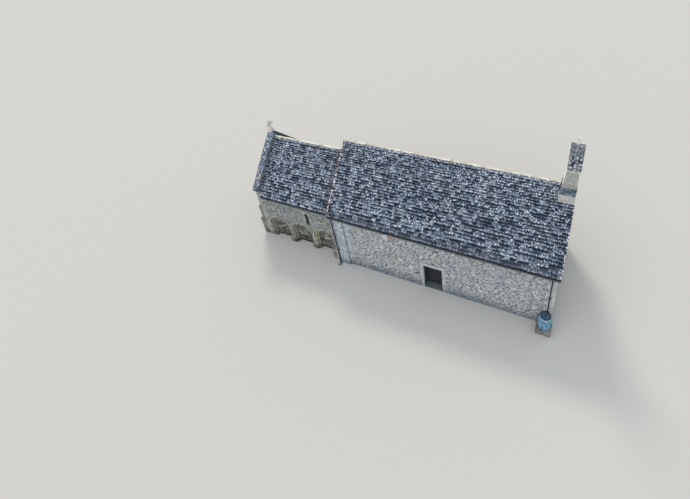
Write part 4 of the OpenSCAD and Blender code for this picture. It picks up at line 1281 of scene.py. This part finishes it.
def lay_voussoirs(bank, face, x, section, count, tones, wear_and_shading, limits=(-99, 99)):
    """Wedge stones round a half circle, each with the whole section of the moulding."""
    gap = 0.002 * len(section) / sum(r for r, _ in section)
    for i in range(count):
        shift = bank.rng.uniform(-0.002, 0.002)
        angles = steps(pi * i / count + gap, pi * (i + 1) / count - gap, 4)
        rings = [[(min(max(u, limits[0]), limits[1]), v, w + shift) for u, v, w in loop]
                 for loop in sweep(x, SPRING, section, angles)]
        bank.loft(face, rings, tones, wear_and_shading)


class CHAPEL_OT_arcade(bpy.types.Operator):
    """Carves the blind arcade: two moulded orders, hood mould, jambs, piers and plinths"""

    bl_idname = "chapel.arcade"
    bl_label = "Blind arcade"

    def execute(self, context):
        orders, hoods, piers = Bank(91), Bank(92), Bank(93)
        hood = [(HOOD_START, -0.01), (HOOD_START, HOOD_OUT / 3), (HOOD_START + 0.045, HOOD_OUT),
                (HOOD_END, HOOD_OUT), (HOOD_END, -0.01)]
        for side, _ in SIDES:
            face = long_face(CHANCEL_HALF, side)
            for index, x in enumerate(ARCH_X):
                # the arch next to the nave has paler stones and the full painted light and shade on its
                # mouldings; the others get a fifth of it
                tones, shading_share = ((0.42, 0.6), 0.2) if index else ((0.5, 0.8), 1.0)
                for start, depth, count in ((ARCH_RADIUS, ARCADE_DEPTH - ORDER, 9),
                                            (ARCH_RADIUS + ORDER, ARCADE_DEPTH, 11)):
                    section, wear_and_shading = order_section(start, depth)
                    wear_and_shading = [part * shading_share for part in wear_and_shading]
                    lay_voussoirs(orders, face, x, section, count, tones, wear_and_shading)
                    for way, (bed, head) in product((-1, 1), spaced(0.12, SPRING, ARCADE_COURSE)):
                        shift = orders.rng.uniform(-0.002, 0.002)
                        rings = [[(x + way * r, v, w + shift) for r, w in section]
                                 for v in (bed + 0.002, head - 0.002)]
                        orders.loft(face, rings, tones, wear_and_shading)
                for way in (-1, 1):
                    a, b = sorted((x + way * (ARCH_RADIUS - 0.012), x + way * (RECESS + 0.004)))
                    orders.block(face, (a, 0.0, -ARCADE_DEPTH), (b, 0.12, 0.02), 0.014,
                                 wander=0.003)
                limits = (x - (ARCH_PITCH / 2 if index < 2 else 9), x + (ARCH_PITCH / 2 if index else 9))
                # the hood is painted paler on its top and darker at its back: painted light and shade
                lay_voussoirs(hoods, face, x, hood, 9, (0.45, 0.7), [-0.4, -0.3, 0.1, 0.35, 0.1],
                              limits)
            for x in ARCH_X[:-1]:
                x -= ARCH_PITCH / 2
                for bed, head in spaced(0.26, SPRING + 0.05, PIER_COURSE):
                    out = 0.01 + piers.rng.uniform(-0.002, 0.003)
                    piers.block(face, (x - PIER_HALF + 0.002, bed + 0.002, -0.05),
                                (x + PIER_HALF - 0.002, head - 0.002, out), 0.008, wander=0.001)
                for a, b in ((-0.18, 0.01), (0.01, 0.18)):
                    piers.block(face, (x + a - 0.004, 0.0, -0.02), (x + b + 0.004, 0.262, 0.096),
                                0.016, wander=0.006)
        orders.piece("arcade_mouldings", "arcade_stone", "arcade_stone", smooth=38)
        hoods.piece("hood_mouldings", "arcade_stone", "arcade_stone", smooth=38)
        for node in ("arcade_arches", "arcade_jambs"):
            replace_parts(bpy.data.objects["arcade_mouldings"], node)
        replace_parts(bpy.data.objects["hood_mouldings"], "arcade_hood_mould")
        piers.piece("pier_stones", "arcade_stone", "arcade_stone")
        paint("joint_mortar", "arcade_plinths")
        return {"FINISHED"}


class CHAPEL_OT_lancets(bpy.types.Operator):
    """Dresses the lancet windows and leads their glass"""

    bl_idname = "chapel.lancets"
    bl_label = "Lancet windows"

    def execute(self, context):
        stones, leads = Bank(101), Bank(102)
        places = [(long_face(CHANCEL_HALF, side), CHANCEL_LANCET_X, LANCET_SILL) for side in (-1, 1)]
        places += [(long_face(NAVE_HALF, 1), x, LANCET_SILL) for x in NAVE_LANCETS]
        places.append((end_face(CHANCEL_X0, -1), 0.0, EAST_SILL))
        for place in places:
            dress_lancet(stones, *place)
            lead_lancet(leads, *place)
        stones.piece("lancet_stones", "lancet_stone", "dressed_stone")
        leads.piece("lancet_leads", "lead", "iron")
        paint("dressed_core", "lancet_surrounds")
        paint("window_glass", "lancet_glass")
        return {"FINISHED"}


def dress_lancet(bank, face, u, sill):
    """Sill, jamb stones and a head of three stones, standing a little out of the wall."""
    spring = sill + LANCET_HEIGHT - LANCET_HALF
    out, inner = 0.014, LANCET_HALF - 0.004
    bank.block(face, (u - LANCET_REACH, sill - LANCET_FRAME, -0.05), (u + LANCET_REACH, sill, out),
               0.008)
    for way, (bed, head) in product((-1, 1), spaced(sill, spring, LANCET_COURSE)):
        a, b = sorted((u + way * inner, u + way * LANCET_REACH))
        bank.block(face, (a, bed + 0.002, -0.06), (b, head - 0.002, out), 0.008, wander=0.001)
    section = [(inner, -0.06), (inner, out - 0.012), (LANCET_HALF + 0.008, out),
               (LANCET_REACH - 0.006, out), (LANCET_REACH, out - 0.006), (LANCET_REACH, -0.06)]
    for i in range(3):
        angles = steps(pi * (i + 0.012) / 3, pi * (i + 0.988) / 3, 5)
        bank.loft(face, sweep(u, spring, section, angles))


def lead_lancet(bank, face, u, sill):
    """Diamond leads 6 mm wide over the glass, and two iron saddle bars."""
    spring = sill + LANCET_HEIGHT - LANCET_HALF
    front, half_lead = -0.086, 0.0048
    for way, k in product((-1, 1), range(-6, 22)):
        run = []
        for t in range(-25, 26):
            a, b = t * 0.005, sill + k * 0.105 + way * t * 0.0065
            if abs(a) <= LANCET_HALF and b >= sill and (b < spring or hypot(a, b - spring) < LANCET_HALF):
                run.append((u + a, b))
        if len(run) > 3:
            bank.loft(face, [[(a, b - half_lead, front), (a, b + half_lead, front),
                              (a, b + half_lead, front - 0.006), (a, b - half_lead, front - 0.006)]
                             for a, b in (run[0], run[-1])])
    for level in (sill + 0.28, sill + 0.58):
        bank.block(face, (u - LANCET_HALF - 0.01, level - 0.006, -0.07),
                   (u + LANCET_HALF + 0.01, level + 0.006, -0.058), 0.003)


class CHAPEL_OT_doorway(bpy.types.Operator):
    """Builds the jambs, lintel, relieving arch and threshold of the doorway"""

    bl_idname = "chapel.doorway"
    bl_label = "Doorway"

    def execute(self, context):
        bank = Bank(111)
        face = long_face(NAVE_HALF, -1)
        deep = -(NAVE_HALF + high("door_jambs").y) + 0.012
        for way in (-1, 1):
            for row, (bed, head) in enumerate(spaced(0.0, DOOR_HEAD, JAMB_COURSE)):
                a, b = sorted((DOOR_X + way * (DOOR_HALF - JAMB_WIDTH - 0.003),
                               DOOR_X + way * (DOOR_HALF + (0.004 if row % 2 else -0.004))))
                bank.block(face, (a, bed + 0.002, deep), (b, head - 0.002, 0.012), 0.009,
                           (0.75, 1.0), 0.001)
        bank.block(face, (DOOR_X - DOOR_HALF - 0.004, DOOR_HEAD - 0.002, deep),
                   (DOOR_X + DOOR_HALF + 0.004, LINTEL_TOP, 0.014), 0.012, (0.95, 0.5, 0.5))
        inner, outer = RELIEF_INNER + 0.002, RELIEF_OUTER - 0.002
        section = [(inner, -0.02), (inner, 0.012), (outer, 0.012), (outer, -0.02)]
        for i in range(11):
            angles = [pi / 2 + RELIEF_ANGLE * (2 * (i + s) / 11 - 1) for s in (0.03, 0.5, 0.97)]
            bank.loft(face, sweep(DOOR_X, RELIEF_Z, section, angles), (0.8, 1.0))
        bank.piece("doorway_stones", "dressed_stone", "dressed_stone")
        # Mortar has fallen from over the arch: near-black plates stand in the gaps, painted shade of
        # their depth
        gaps = Bank(112)
        inner = RELIEF_OUTER - 0.006
        for turn in (-0.8, -0.45, -0.1, 0.3, 0.62, 0.9):
            rings = []
            for s in (-0.13, 0.0, 0.13):
                outer = inner + 0.034 + gaps.rng.uniform(-0.006, 0.008)
                rings += sweep(DOOR_X, RELIEF_Z,
                               ((inner, 0.0), (inner, 0.016), (outer, 0.016), (outer, 0.0)),
                               [pi / 2 - RELIEF_ANGLE * (turn + s)])
            gaps.loft(face, rings)
        gaps.piece("doorway_gaps", "hole", "rubble")
        paint("dressed_core", "door_jambs", "door_lintel", "relieving_arch")
        paint("threshold_stone", "threshold")
        return {"FINISHED"}


class CHAPEL_OT_door(bpy.types.Operator):
    """Builds the plank door with its ledges, nails and ring handle"""

    bl_idname = "chapel.door"
    bl_label = "Plank door"

    def execute(self, context):
        near, far = low("door"), high("door")
        planks, iron = Bank(121), Bank(122)
        board = near.y + 0.032
        boards = spaced(near.x, far.x, context.scene.chapel_sizes.plank)
        ledges = [near.z + 0.28, (near.z + far.z) / 2, far.z - 0.28]
        for a, b in boards:
            planks.block(WORLD, (a + 0.0015, near.y, near.z), (b - 0.0015, board, far.z), 0.005,
                         wander=0.0005)
        for level in ledges:
            planks.block(WORLD, (near.x + 0.03, board, level - 0.07),
                         (far.x - 0.01, far.y, level + 0.07), 0.006)
        leaf = planks.piece("door_planks", "oak", "oak", body="door_leaf")
        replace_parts(leaf, "door")

        for (a, b), share in product(boards, (0.27, 0.73)):
            x = a + (b - a) * share
            if abs(x - DOOR_X) > DOOR_HALF - JAMB_WIDTH - 0.03:
                continue
            for level, shift in product(ledges, (-0.03, 0.03)):
                iron.loft(ALONG, [ring(x, level + shift, r, near.y + w, 8)
                                  for r, w in ((0.011, 0.001), (0.008, -0.004), (0.003, -0.006))])
        x, z = DOOR_X - 0.42, 1.02
        iron.collar(ALONG, x, z, 0.04, near.y - 0.006, near.y + 0.002)
        iron.collar(ALONG, x, z + 0.02, 0.011, near.y - 0.028, near.y, 12, 0.002)
        # the ring handle hangs from its boss
        iron.loft(ALONG, [[(x + (0.048 + r) * sin(a), z - 0.028 + (0.048 + r) * cos(a),
                            near.y - 0.02 + w) for r, w, _ in ring(0, 0, 0.006, 0, 8)]
                          for a in steps(0, 2 * pi, 24)])
        iron.block(WORLD, (x - 0.018, near.y - 0.004, z - 0.2), (x + 0.018, near.y + 0.001, z - 0.12),
                   0.002)
        iron.piece("door_ironwork", "iron", "iron", body="door_leaf", smooth=40)
        paint("iron", "door_straps", "door_pintles")
        return {"FINISHED"}


class CHAPEL_OT_bellcote(bpy.types.Operator):
    """Builds the bellcote: base, weathering, shaft, slated roof and ridge"""

    bl_idname = "chapel.bellcote"
    bl_label = "Bellcote"

    def execute(self, context):
        bank = Bank(131)
        foot = low("bellcote_base").z
        for row, (bed, head) in enumerate(spaced(foot + 0.14, high("bellcote_base").z, BELL_COURSE)):
            inner = max(0.0, BELL_HALF - (bed - foot) / SLOPE)
            cuts = [BELL_X0 - 0.006, BELL_X0 + (0.3 if row % 2 else 0.44), BELL_X1 + 0.007]
            for side, (a, b) in product((-1, 1), zip(cuts, cuts[1:])):
                y0, y1 = sorted((side * (BELL_HALF + 0.007), side * inner))
                bank.block(WORLD, (a + 0.002, y0, bed + 0.002), (b - 0.002, y1, head - 0.002), 0.007,
                           (0.5, 0.75), 0.001)
        near, far = low("bellcote_shaft"), high("bellcote_shaft")
        for row, (bed, head) in enumerate(spaced(near.z, far.z - 0.15, BELL_COURSE)):
            split = 0.11 if row % 2 else -0.13
            for a, b in ((near.y - 0.006, split), (split, far.y + 0.006)):
                lay_shaft_stone(bank, a + 0.002, b - 0.002, bed + 0.002, head - 0.002)
        bank.block(WORLD, (BELL_HEAD_X0 - 0.024, near.y - 0.03, far.z - 0.15),
                   (BELL_HEAD_X1 + 0.03, far.y + 0.03, far.z), 0.012, (0.85, 0.5, 0.5))
        bank.piece("bellcote_stones", "bell_stone", "dressed_stone")
        paint("joint_mortar", "bellcote_base", "bellcote_shaft")
        paint("bell_weathering", "bellcote_weathering")

        roof, cap, crest = Bank(132), Bank(133), Bank(134)
        near, far = low("bellcote_roof"), high("bellcote_roof")
        edge = near.z + 0.06
        steep = atan((far.z - edge) / far.y)
        for side, _ in SIDES:
            lay_slates(roof, pitched_face(near.x, side * far.y, edge, side, steep), far.x - near.x,
                       (far.z - edge) / sin(steep), context.scene.chapel_sizes, cover=0.1, scale=0.72)
        roof.piece("bellcote_slates", "bell_slate", "stone_slate")
        legs = [(-0.072, -0.145), (0, -0.01), (0.072, -0.145), (0.104, -0.14), (0.02, 0.016),
                (-0.02, 0.016), (-0.104, -0.14)]
        top = [(-0.026, 0.002), (0.026, 0.002), (0.026, 0.012), (0.012, 0.026), (-0.012, 0.026),
               (-0.026, 0.012)]
        for a, b in spaced(near.x, far.x, 0.35):
            for pile, section in ((cap, legs), (crest, top)):
                pile.bar(ACROSS, [(y, far.z + z) for y, z in section], (a + 0.002, b - 0.002))
        # The legs take the slates' dark finish, partly lichens and partly painted shade; the crest's
        # near-white finish is partly painted sunlight
        cap.piece("bellcote_ridge_legs", "bell_slate", "ridge_stone")
        crest.piece("bellcote_ridge", "ridge_stone", "ridge_stone")
        paint("bell_slate_core", "bellcote_roof")
        return {"FINISHED"}


def lay_shaft_stone(bank, y0, y1, bed, head, cut=0.007):
    """A stone through the whole shaft; its ends follow the batter of the two gable sides."""
    near, far = low("bellcote_shaft"), high("bellcote_shaft")
    rings = []
    for z, inset in ((bed, cut), (bed + cut, 0.0), (head - cut, 0.0), (head, cut)):
        share = (z - near.z) / (far.z - near.z)
        x0 = near.x + (BELL_HEAD_X0 - near.x) * share - 0.006 + inset
        x1 = far.x + (BELL_HEAD_X1 - far.x) * share + 0.006 - inset
        a, b = y0 + inset, y1 - inset
        rings.append([(x0 + cut, a, z), (x1 - cut, a, z), (x1, a + cut, z), (x1, b - cut, z),
                      (x1 - cut, b, z), (x0 + cut, b, z), (x0, b - cut, z), (x0, a + cut, z)])
    # the side towards the ridge is painted near white: painted sunlight
    bank.loft(WORLD, rings, (0.15, 0.45), [0] * 6 + [0.8] * 2)


class CHAPEL_OT_rainwater(bpy.types.Operator):
    """Hangs the gutters on their brackets and fixes the downpipes"""

    bl_idname = "chapel.rainwater"
    bl_label = "Gutters and pipes"

    def execute(self, context):
        bank, troughs, silt, stone = Bank(141), Bank(143), Bank(144), Bank(142)
        runs = ((NAVE_X0 - VERGE + 0.03, NAVE_X1 + VERGE - 0.03, NAVE_HALF, NAVE_WALL),
                (low("chancel_roof_north").x + 0.1, NAVE_X0 - VERGE - 0.1, CHANCEL_HALF,
                 CHANCEL_WALL))
        wide, deep = TROUGH_RADIUS * 0.78, TROUGH_RADIUS * 0.55
        for (side, _), (x0, x1, half, wall) in product(SIDES, runs):
            y, z = side * (half + EAVE + GUTTER_RADIUS), wall - EAVE * SLOPE + 0.04

            def band(x, width, outer):
                gutter_band(bank, x - width / 2, width, y, z, TROUGH_RADIUS - 0.001,
                            TROUGH_RADIUS + outer)

            gutter_band(troughs, x0, x1 - x0, y, z, TROUGH_RADIUS - 0.006, TROUGH_RADIUS)
            for a, b in spaced(x0 + 0.004, x1 - 0.004, SILT_LENGTH):
                silt.block(WORLD, (a, y - wide, z - deep), (b, y + wide, z - 0.018), 0.008,
                           wander=0.003)
            for a, b in spaced(x0 + 0.2, x1 - 0.2, context.scene.chapel_sizes.bracket_spacing):
                x = (a + b) / 2
                band(x, 0.028, 0.006)
                y0, y1 = sorted((y - side * 0.055, side * half))
                bank.block(WORLD, (x - 0.012, y0, z - 0.02), (x + 0.012, y1, z + 0.004), 0.003)
            for x, _ in spaced(x0, x1, GUTTER_LENGTH)[1:]:
                band(x, 0.1, 0.008)
            for x in (x0 + 0.02, x1 - 0.02):
                band(x, 0.04, 0.007)
                # the stop at the end of a gutter
                rim = [p[:2] for (p,) in sweep(y, z, [(TROUGH_RADIUS, 0)], steps(pi, 2 * pi, 12))]
                bank.bar(ACROSS, rim, (x - 0.003, x + 0.003))
        for node in ("downpipe_east", "downpipe_west"):
            near, far = low(node), high(node)
            x, y = (near.x + far.x) / 2, (near.y + far.y) / 2
            wall_y = -NAVE_HALF - (PILASTER_FACE - NAVE_HALF if x < 0 else 0)
            bank.collar(WORLD, x, y, PIPE_RADIUS + 0.012, far.z - 0.1, far.z)
            for top, _ in spaced(near.z, far.z - 0.3, CLIP_SPACING)[1:]:
                bank.collar(WORLD, x, y, PIPE_RADIUS + 0.008, top - 0.09, top)
                bank.block(WORLD, (x - 0.085, y + 0.012, top - 0.06), (x + 0.085, y + 0.03, top - 0.03),
                           0.004)
                for way in (-1, 1):
                    bank.collar(ALONG, x + way * 0.066, top - 0.045, 0.012, y + 0.02,
                                wall_y + 0.004, 12, 0.002)
        near = low("downpipe_east")
        x, y = near.x + PIPE_RADIUS, near.y + PIPE_RADIUS
        # the shoe turns the east pipe outwards
        shoe = []
        for a in (radians(14 * k) for k in range(6)):
            y_bend, z_bend = y - 0.11 * (1 - cos(a)), near.z + 0.02 - 0.11 * sin(a) * 0.9
            shoe.append([(u, y_bend + v * cos(a), z_bend - v * sin(a))
                         for u, v, _ in ring(x, 0, PIPE_RADIUS + 0.004, 0, 20)])
        bank.loft(WORLD, shoe)
        bank.piece("gutter_fittings", "black_iron", "black_iron", smooth=40)
        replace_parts(troughs.piece("gutter_troughs", "black_iron", "black_iron", smooth=40),
                    "gutters")
        silt.piece("gutter_silt", "silt", "black_iron")
        paint("black_iron", "downpipe_east", "downpipe_west")
        stone.block(WORLD, (x - 0.11, y - 0.24, 0.0), (x + 0.11, y - 0.02, 0.035), 0.02,
                    (1.0, 0.4, 0.4), 0.012)
        stone.piece("splash_stone", "dressed_stone", "dressed_stone")
        return {"FINISHED"}


def gutter_band(bank, x, width, y, z, inner, outer):
    """A half ring: the trough of a gutter, or a strap round its underside."""
    section = [(inner, x), (outer, x), (outer, x + width), (inner, x + width)]
    bank.loft(ACROSS, sweep(y, z, section, steps(pi, 2 * pi, 12)))


class CHAPEL_OT_butt(bpy.types.Operator):
    """Builds the hoops, tap, lid and stand of the water butt"""

    bl_idname = "chapel.butt"
    bl_label = "Water butt"

    def execute(self, context):
        near, far = low("water_butt"), high("water_butt")
        x, y = (near.x + far.x) / 2, (near.y + far.y) / 2
        widest, tall = (far.x - near.x) / 2, far.z - near.z
        rim, top = (high("butt_lid").x - low("butt_lid").x) / 2, high("butt_lid").z
        body, hoops, lid, inlet, tap, stand = map(Bank, (151, 155, 152, 156, 153, 154))

        # The barrel stays a hoop's thickness inside the drawn one
        def radius(share):
            return rim - 0.026 + (widest - rim + 0.014) * sin(pi * share)

        body.loft(WORLD, [ring(x, y, radius(k / 24) - (0.006 if k in (0, 24) else 0),
                               near.z + tall * k / 24, 72) for k in range(25)])
        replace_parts(body.piece("butt_barrel", "butt_plastic", "butt_plastic", smooth=50),
                    "water_butt")
        for share, out, half in ((0.03, 0.012, 0.02), (0.3, 0.008, 0.016), (0.5, 0.008, 0.016),
                                 (0.7, 0.008, 0.016), (0.965, 0.014, 0.022)):
            z, r = near.z + tall * share, radius(share)
            section = [(r - 0.004, z - half), (r + out, z - half * 0.45), (r + out, z + half * 0.45),
                       (r - 0.004, z + half)]
            hoops.loft(WORLD, sweep(x, y, section, steps(0, 2 * pi, 64)))
        hoops.piece("butt_hoops", "butt_plastic", "butt_plastic", smooth=50)

        for r0, r1, z0, z1 in ((rim - 0.045, rim + 0.006, top - 0.034, top + 0.006),
                               (rim * 0.62, rim * 0.66, top - 0.01, top + 0.005),
                               (rim * 0.2, rim * 0.24, top - 0.01, top + 0.007)):
            section = [(r0, z0), (r1, z0), (r1, z1 - 0.003), (r1 - 0.004, z1), (r0 + 0.004, z1),
                       (r0, z1 - 0.003)]
            lid.loft(WORLD, sweep(x, y, section, steps(0, 2 * pi, 48)))
        lid.piece("butt_lid_rings", "lid_rim", "lid_plastic", smooth=50)
        inlet.collar(WORLD, x + 0.02, y + 0.03, 0.05, top - 0.01, top + 0.003)
        pipe = (low("downpipe_west") + high("downpipe_west")) / 2
        inlet.collar(WORLD, pipe.x, pipe.y, PIPE_RADIUS + 0.016, top, top + 0.03)
        inlet.piece("butt_inlet", "black_iron", "black_iron", smooth=50)
        paint("lid_plastic", "butt_lid")

        # The tap, and the sight pipe that climbs the barrel over it on three clips
        turn = radians(-106)
        out = Vector((cos(turn), sin(turn), 0))
        face = Face((x, y, near.z + 0.1), (-out.y, out.x, 0), (0, 0, 1), out)
        start = radius(0.11)
        for r, w0, w1 in ((0.028, start - 0.01, start + 0.012), (0.013, start, start + 0.07)):
            tap.loft(face, [ring(0, 0, r, w, 16) for w in (w0, w1)])
        tap.loft(face, [[(u, v, start + 0.058 + w) for u, w, _ in ring(0, 0, 0.011, 0, 16)]
                        for v in (0.02, -0.045)])
        tap.block(face, (-0.03, 0.018, start + 0.05), (0.03, 0.03, start + 0.066), 0.003)
        for share in (0.16, 0.5, 0.84):
            tap.block(face, (-0.016, tall * share - 0.11, radius(share) + 0.001),
                      (0.016, tall * share - 0.08, radius(share) + 0.014), 0.004)
        tap.loft(face, [[(u, tall * s - 0.1, radius(s) + 0.012 + w)
                         for u, w, _ in ring(0, 0, 0.012, 0, 12)] for s in steps(0.12, 0.88, 12)])
        tap.piece("butt_tap", "lid_plastic", "lid_plastic", smooth=45)

        near, far = low("butt_stand"), high("butt_stand")
        slab = far.z - 0.09
        cut = (near.x + far.x) / 2 + 0.06
        for a, b in ((near.x - 0.01, cut), (cut, far.x + 0.01)):
            stand.block(WORLD, (a + 0.004, near.y - 0.01, slab), (b - 0.004, far.y, far.z + 0.001),
                        0.014, wander=0.006)
        for a, b in ((near.x, near.x + 0.3), (far.x - 0.3, far.x)):
            for y0, y1 in ((near.y - 0.004, near.y + 0.3), (near.y + 0.306, far.y)):
                stand.block(WORLD, (a - 0.004, y0, 0.0), (b + 0.004, y1, slab - 0.004), 0.014,
                            wander=0.005)
        # The stand takes the darker stub stone: its own colour, and partly painted shade at the butt's
        # foot
        stand.piece("stand_stones", "stub_stone", "dressed_stone")
        paint("joint_mortar", "butt_stand")
        return {"FINISHED"}


OPERATORS = (CHAPEL_OT_stage, CHAPEL_OT_slates, CHAPEL_OT_ridges, CHAPEL_OT_coping,
             CHAPEL_OT_rubble, CHAPEL_OT_ashlar, CHAPEL_OT_arcade, CHAPEL_OT_lancets,
             CHAPEL_OT_doorway, CHAPEL_OT_door, CHAPEL_OT_bellcote, CHAPEL_OT_rainwater,
             CHAPEL_OT_butt)


class CHAPEL_PT_panel(bpy.types.Panel):
    """Lists the steps that dress the chapel, and its sizes and colours"""

    bl_idname = "CHAPEL_PT_panel"
    bl_label = "Small chapel"
    bl_space_type = "VIEW_3D"
    bl_region_type = "UI"
    bl_category = "Chapel"

    def draw(self, context):
        column = self.layout.column(align=True)
        for step in OPERATORS:
            column.operator(step.bl_idname)
        for group in (context.scene.chapel_sizes, context.scene.chapel_colours):
            column.separator()
            for name in group.bl_rna.properties.keys():
                if name not in ("rna_type", "name"):
                    column.prop(group, name)


CLASSES = (ChapelSizes, ChapelColours) + OPERATORS + (CHAPEL_PT_panel,)


def register():
    for made in CLASSES:
        bpy.utils.register_class(made)
    bpy.types.Scene.chapel_sizes = bpy.props.PointerProperty(type=ChapelSizes)
    bpy.types.Scene.chapel_colours = bpy.props.PointerProperty(type=ChapelColours)


def unregister():
    del bpy.types.Scene.chapel_sizes
    del bpy.types.Scene.chapel_colours
    for made in reversed(CLASSES):
        bpy.utils.unregister_class(made)


def main():
    register()
    make_stone_finishes(bpy.context.scene.chapel_colours)
    make_other_finishes(bpy.context.scene.chapel_colours)
    for step in OPERATORS:
        group, name = step.bl_idname.split(".")
        getattr(getattr(bpy.ops, group), name)()


if __name__ == "__main__":
    main()
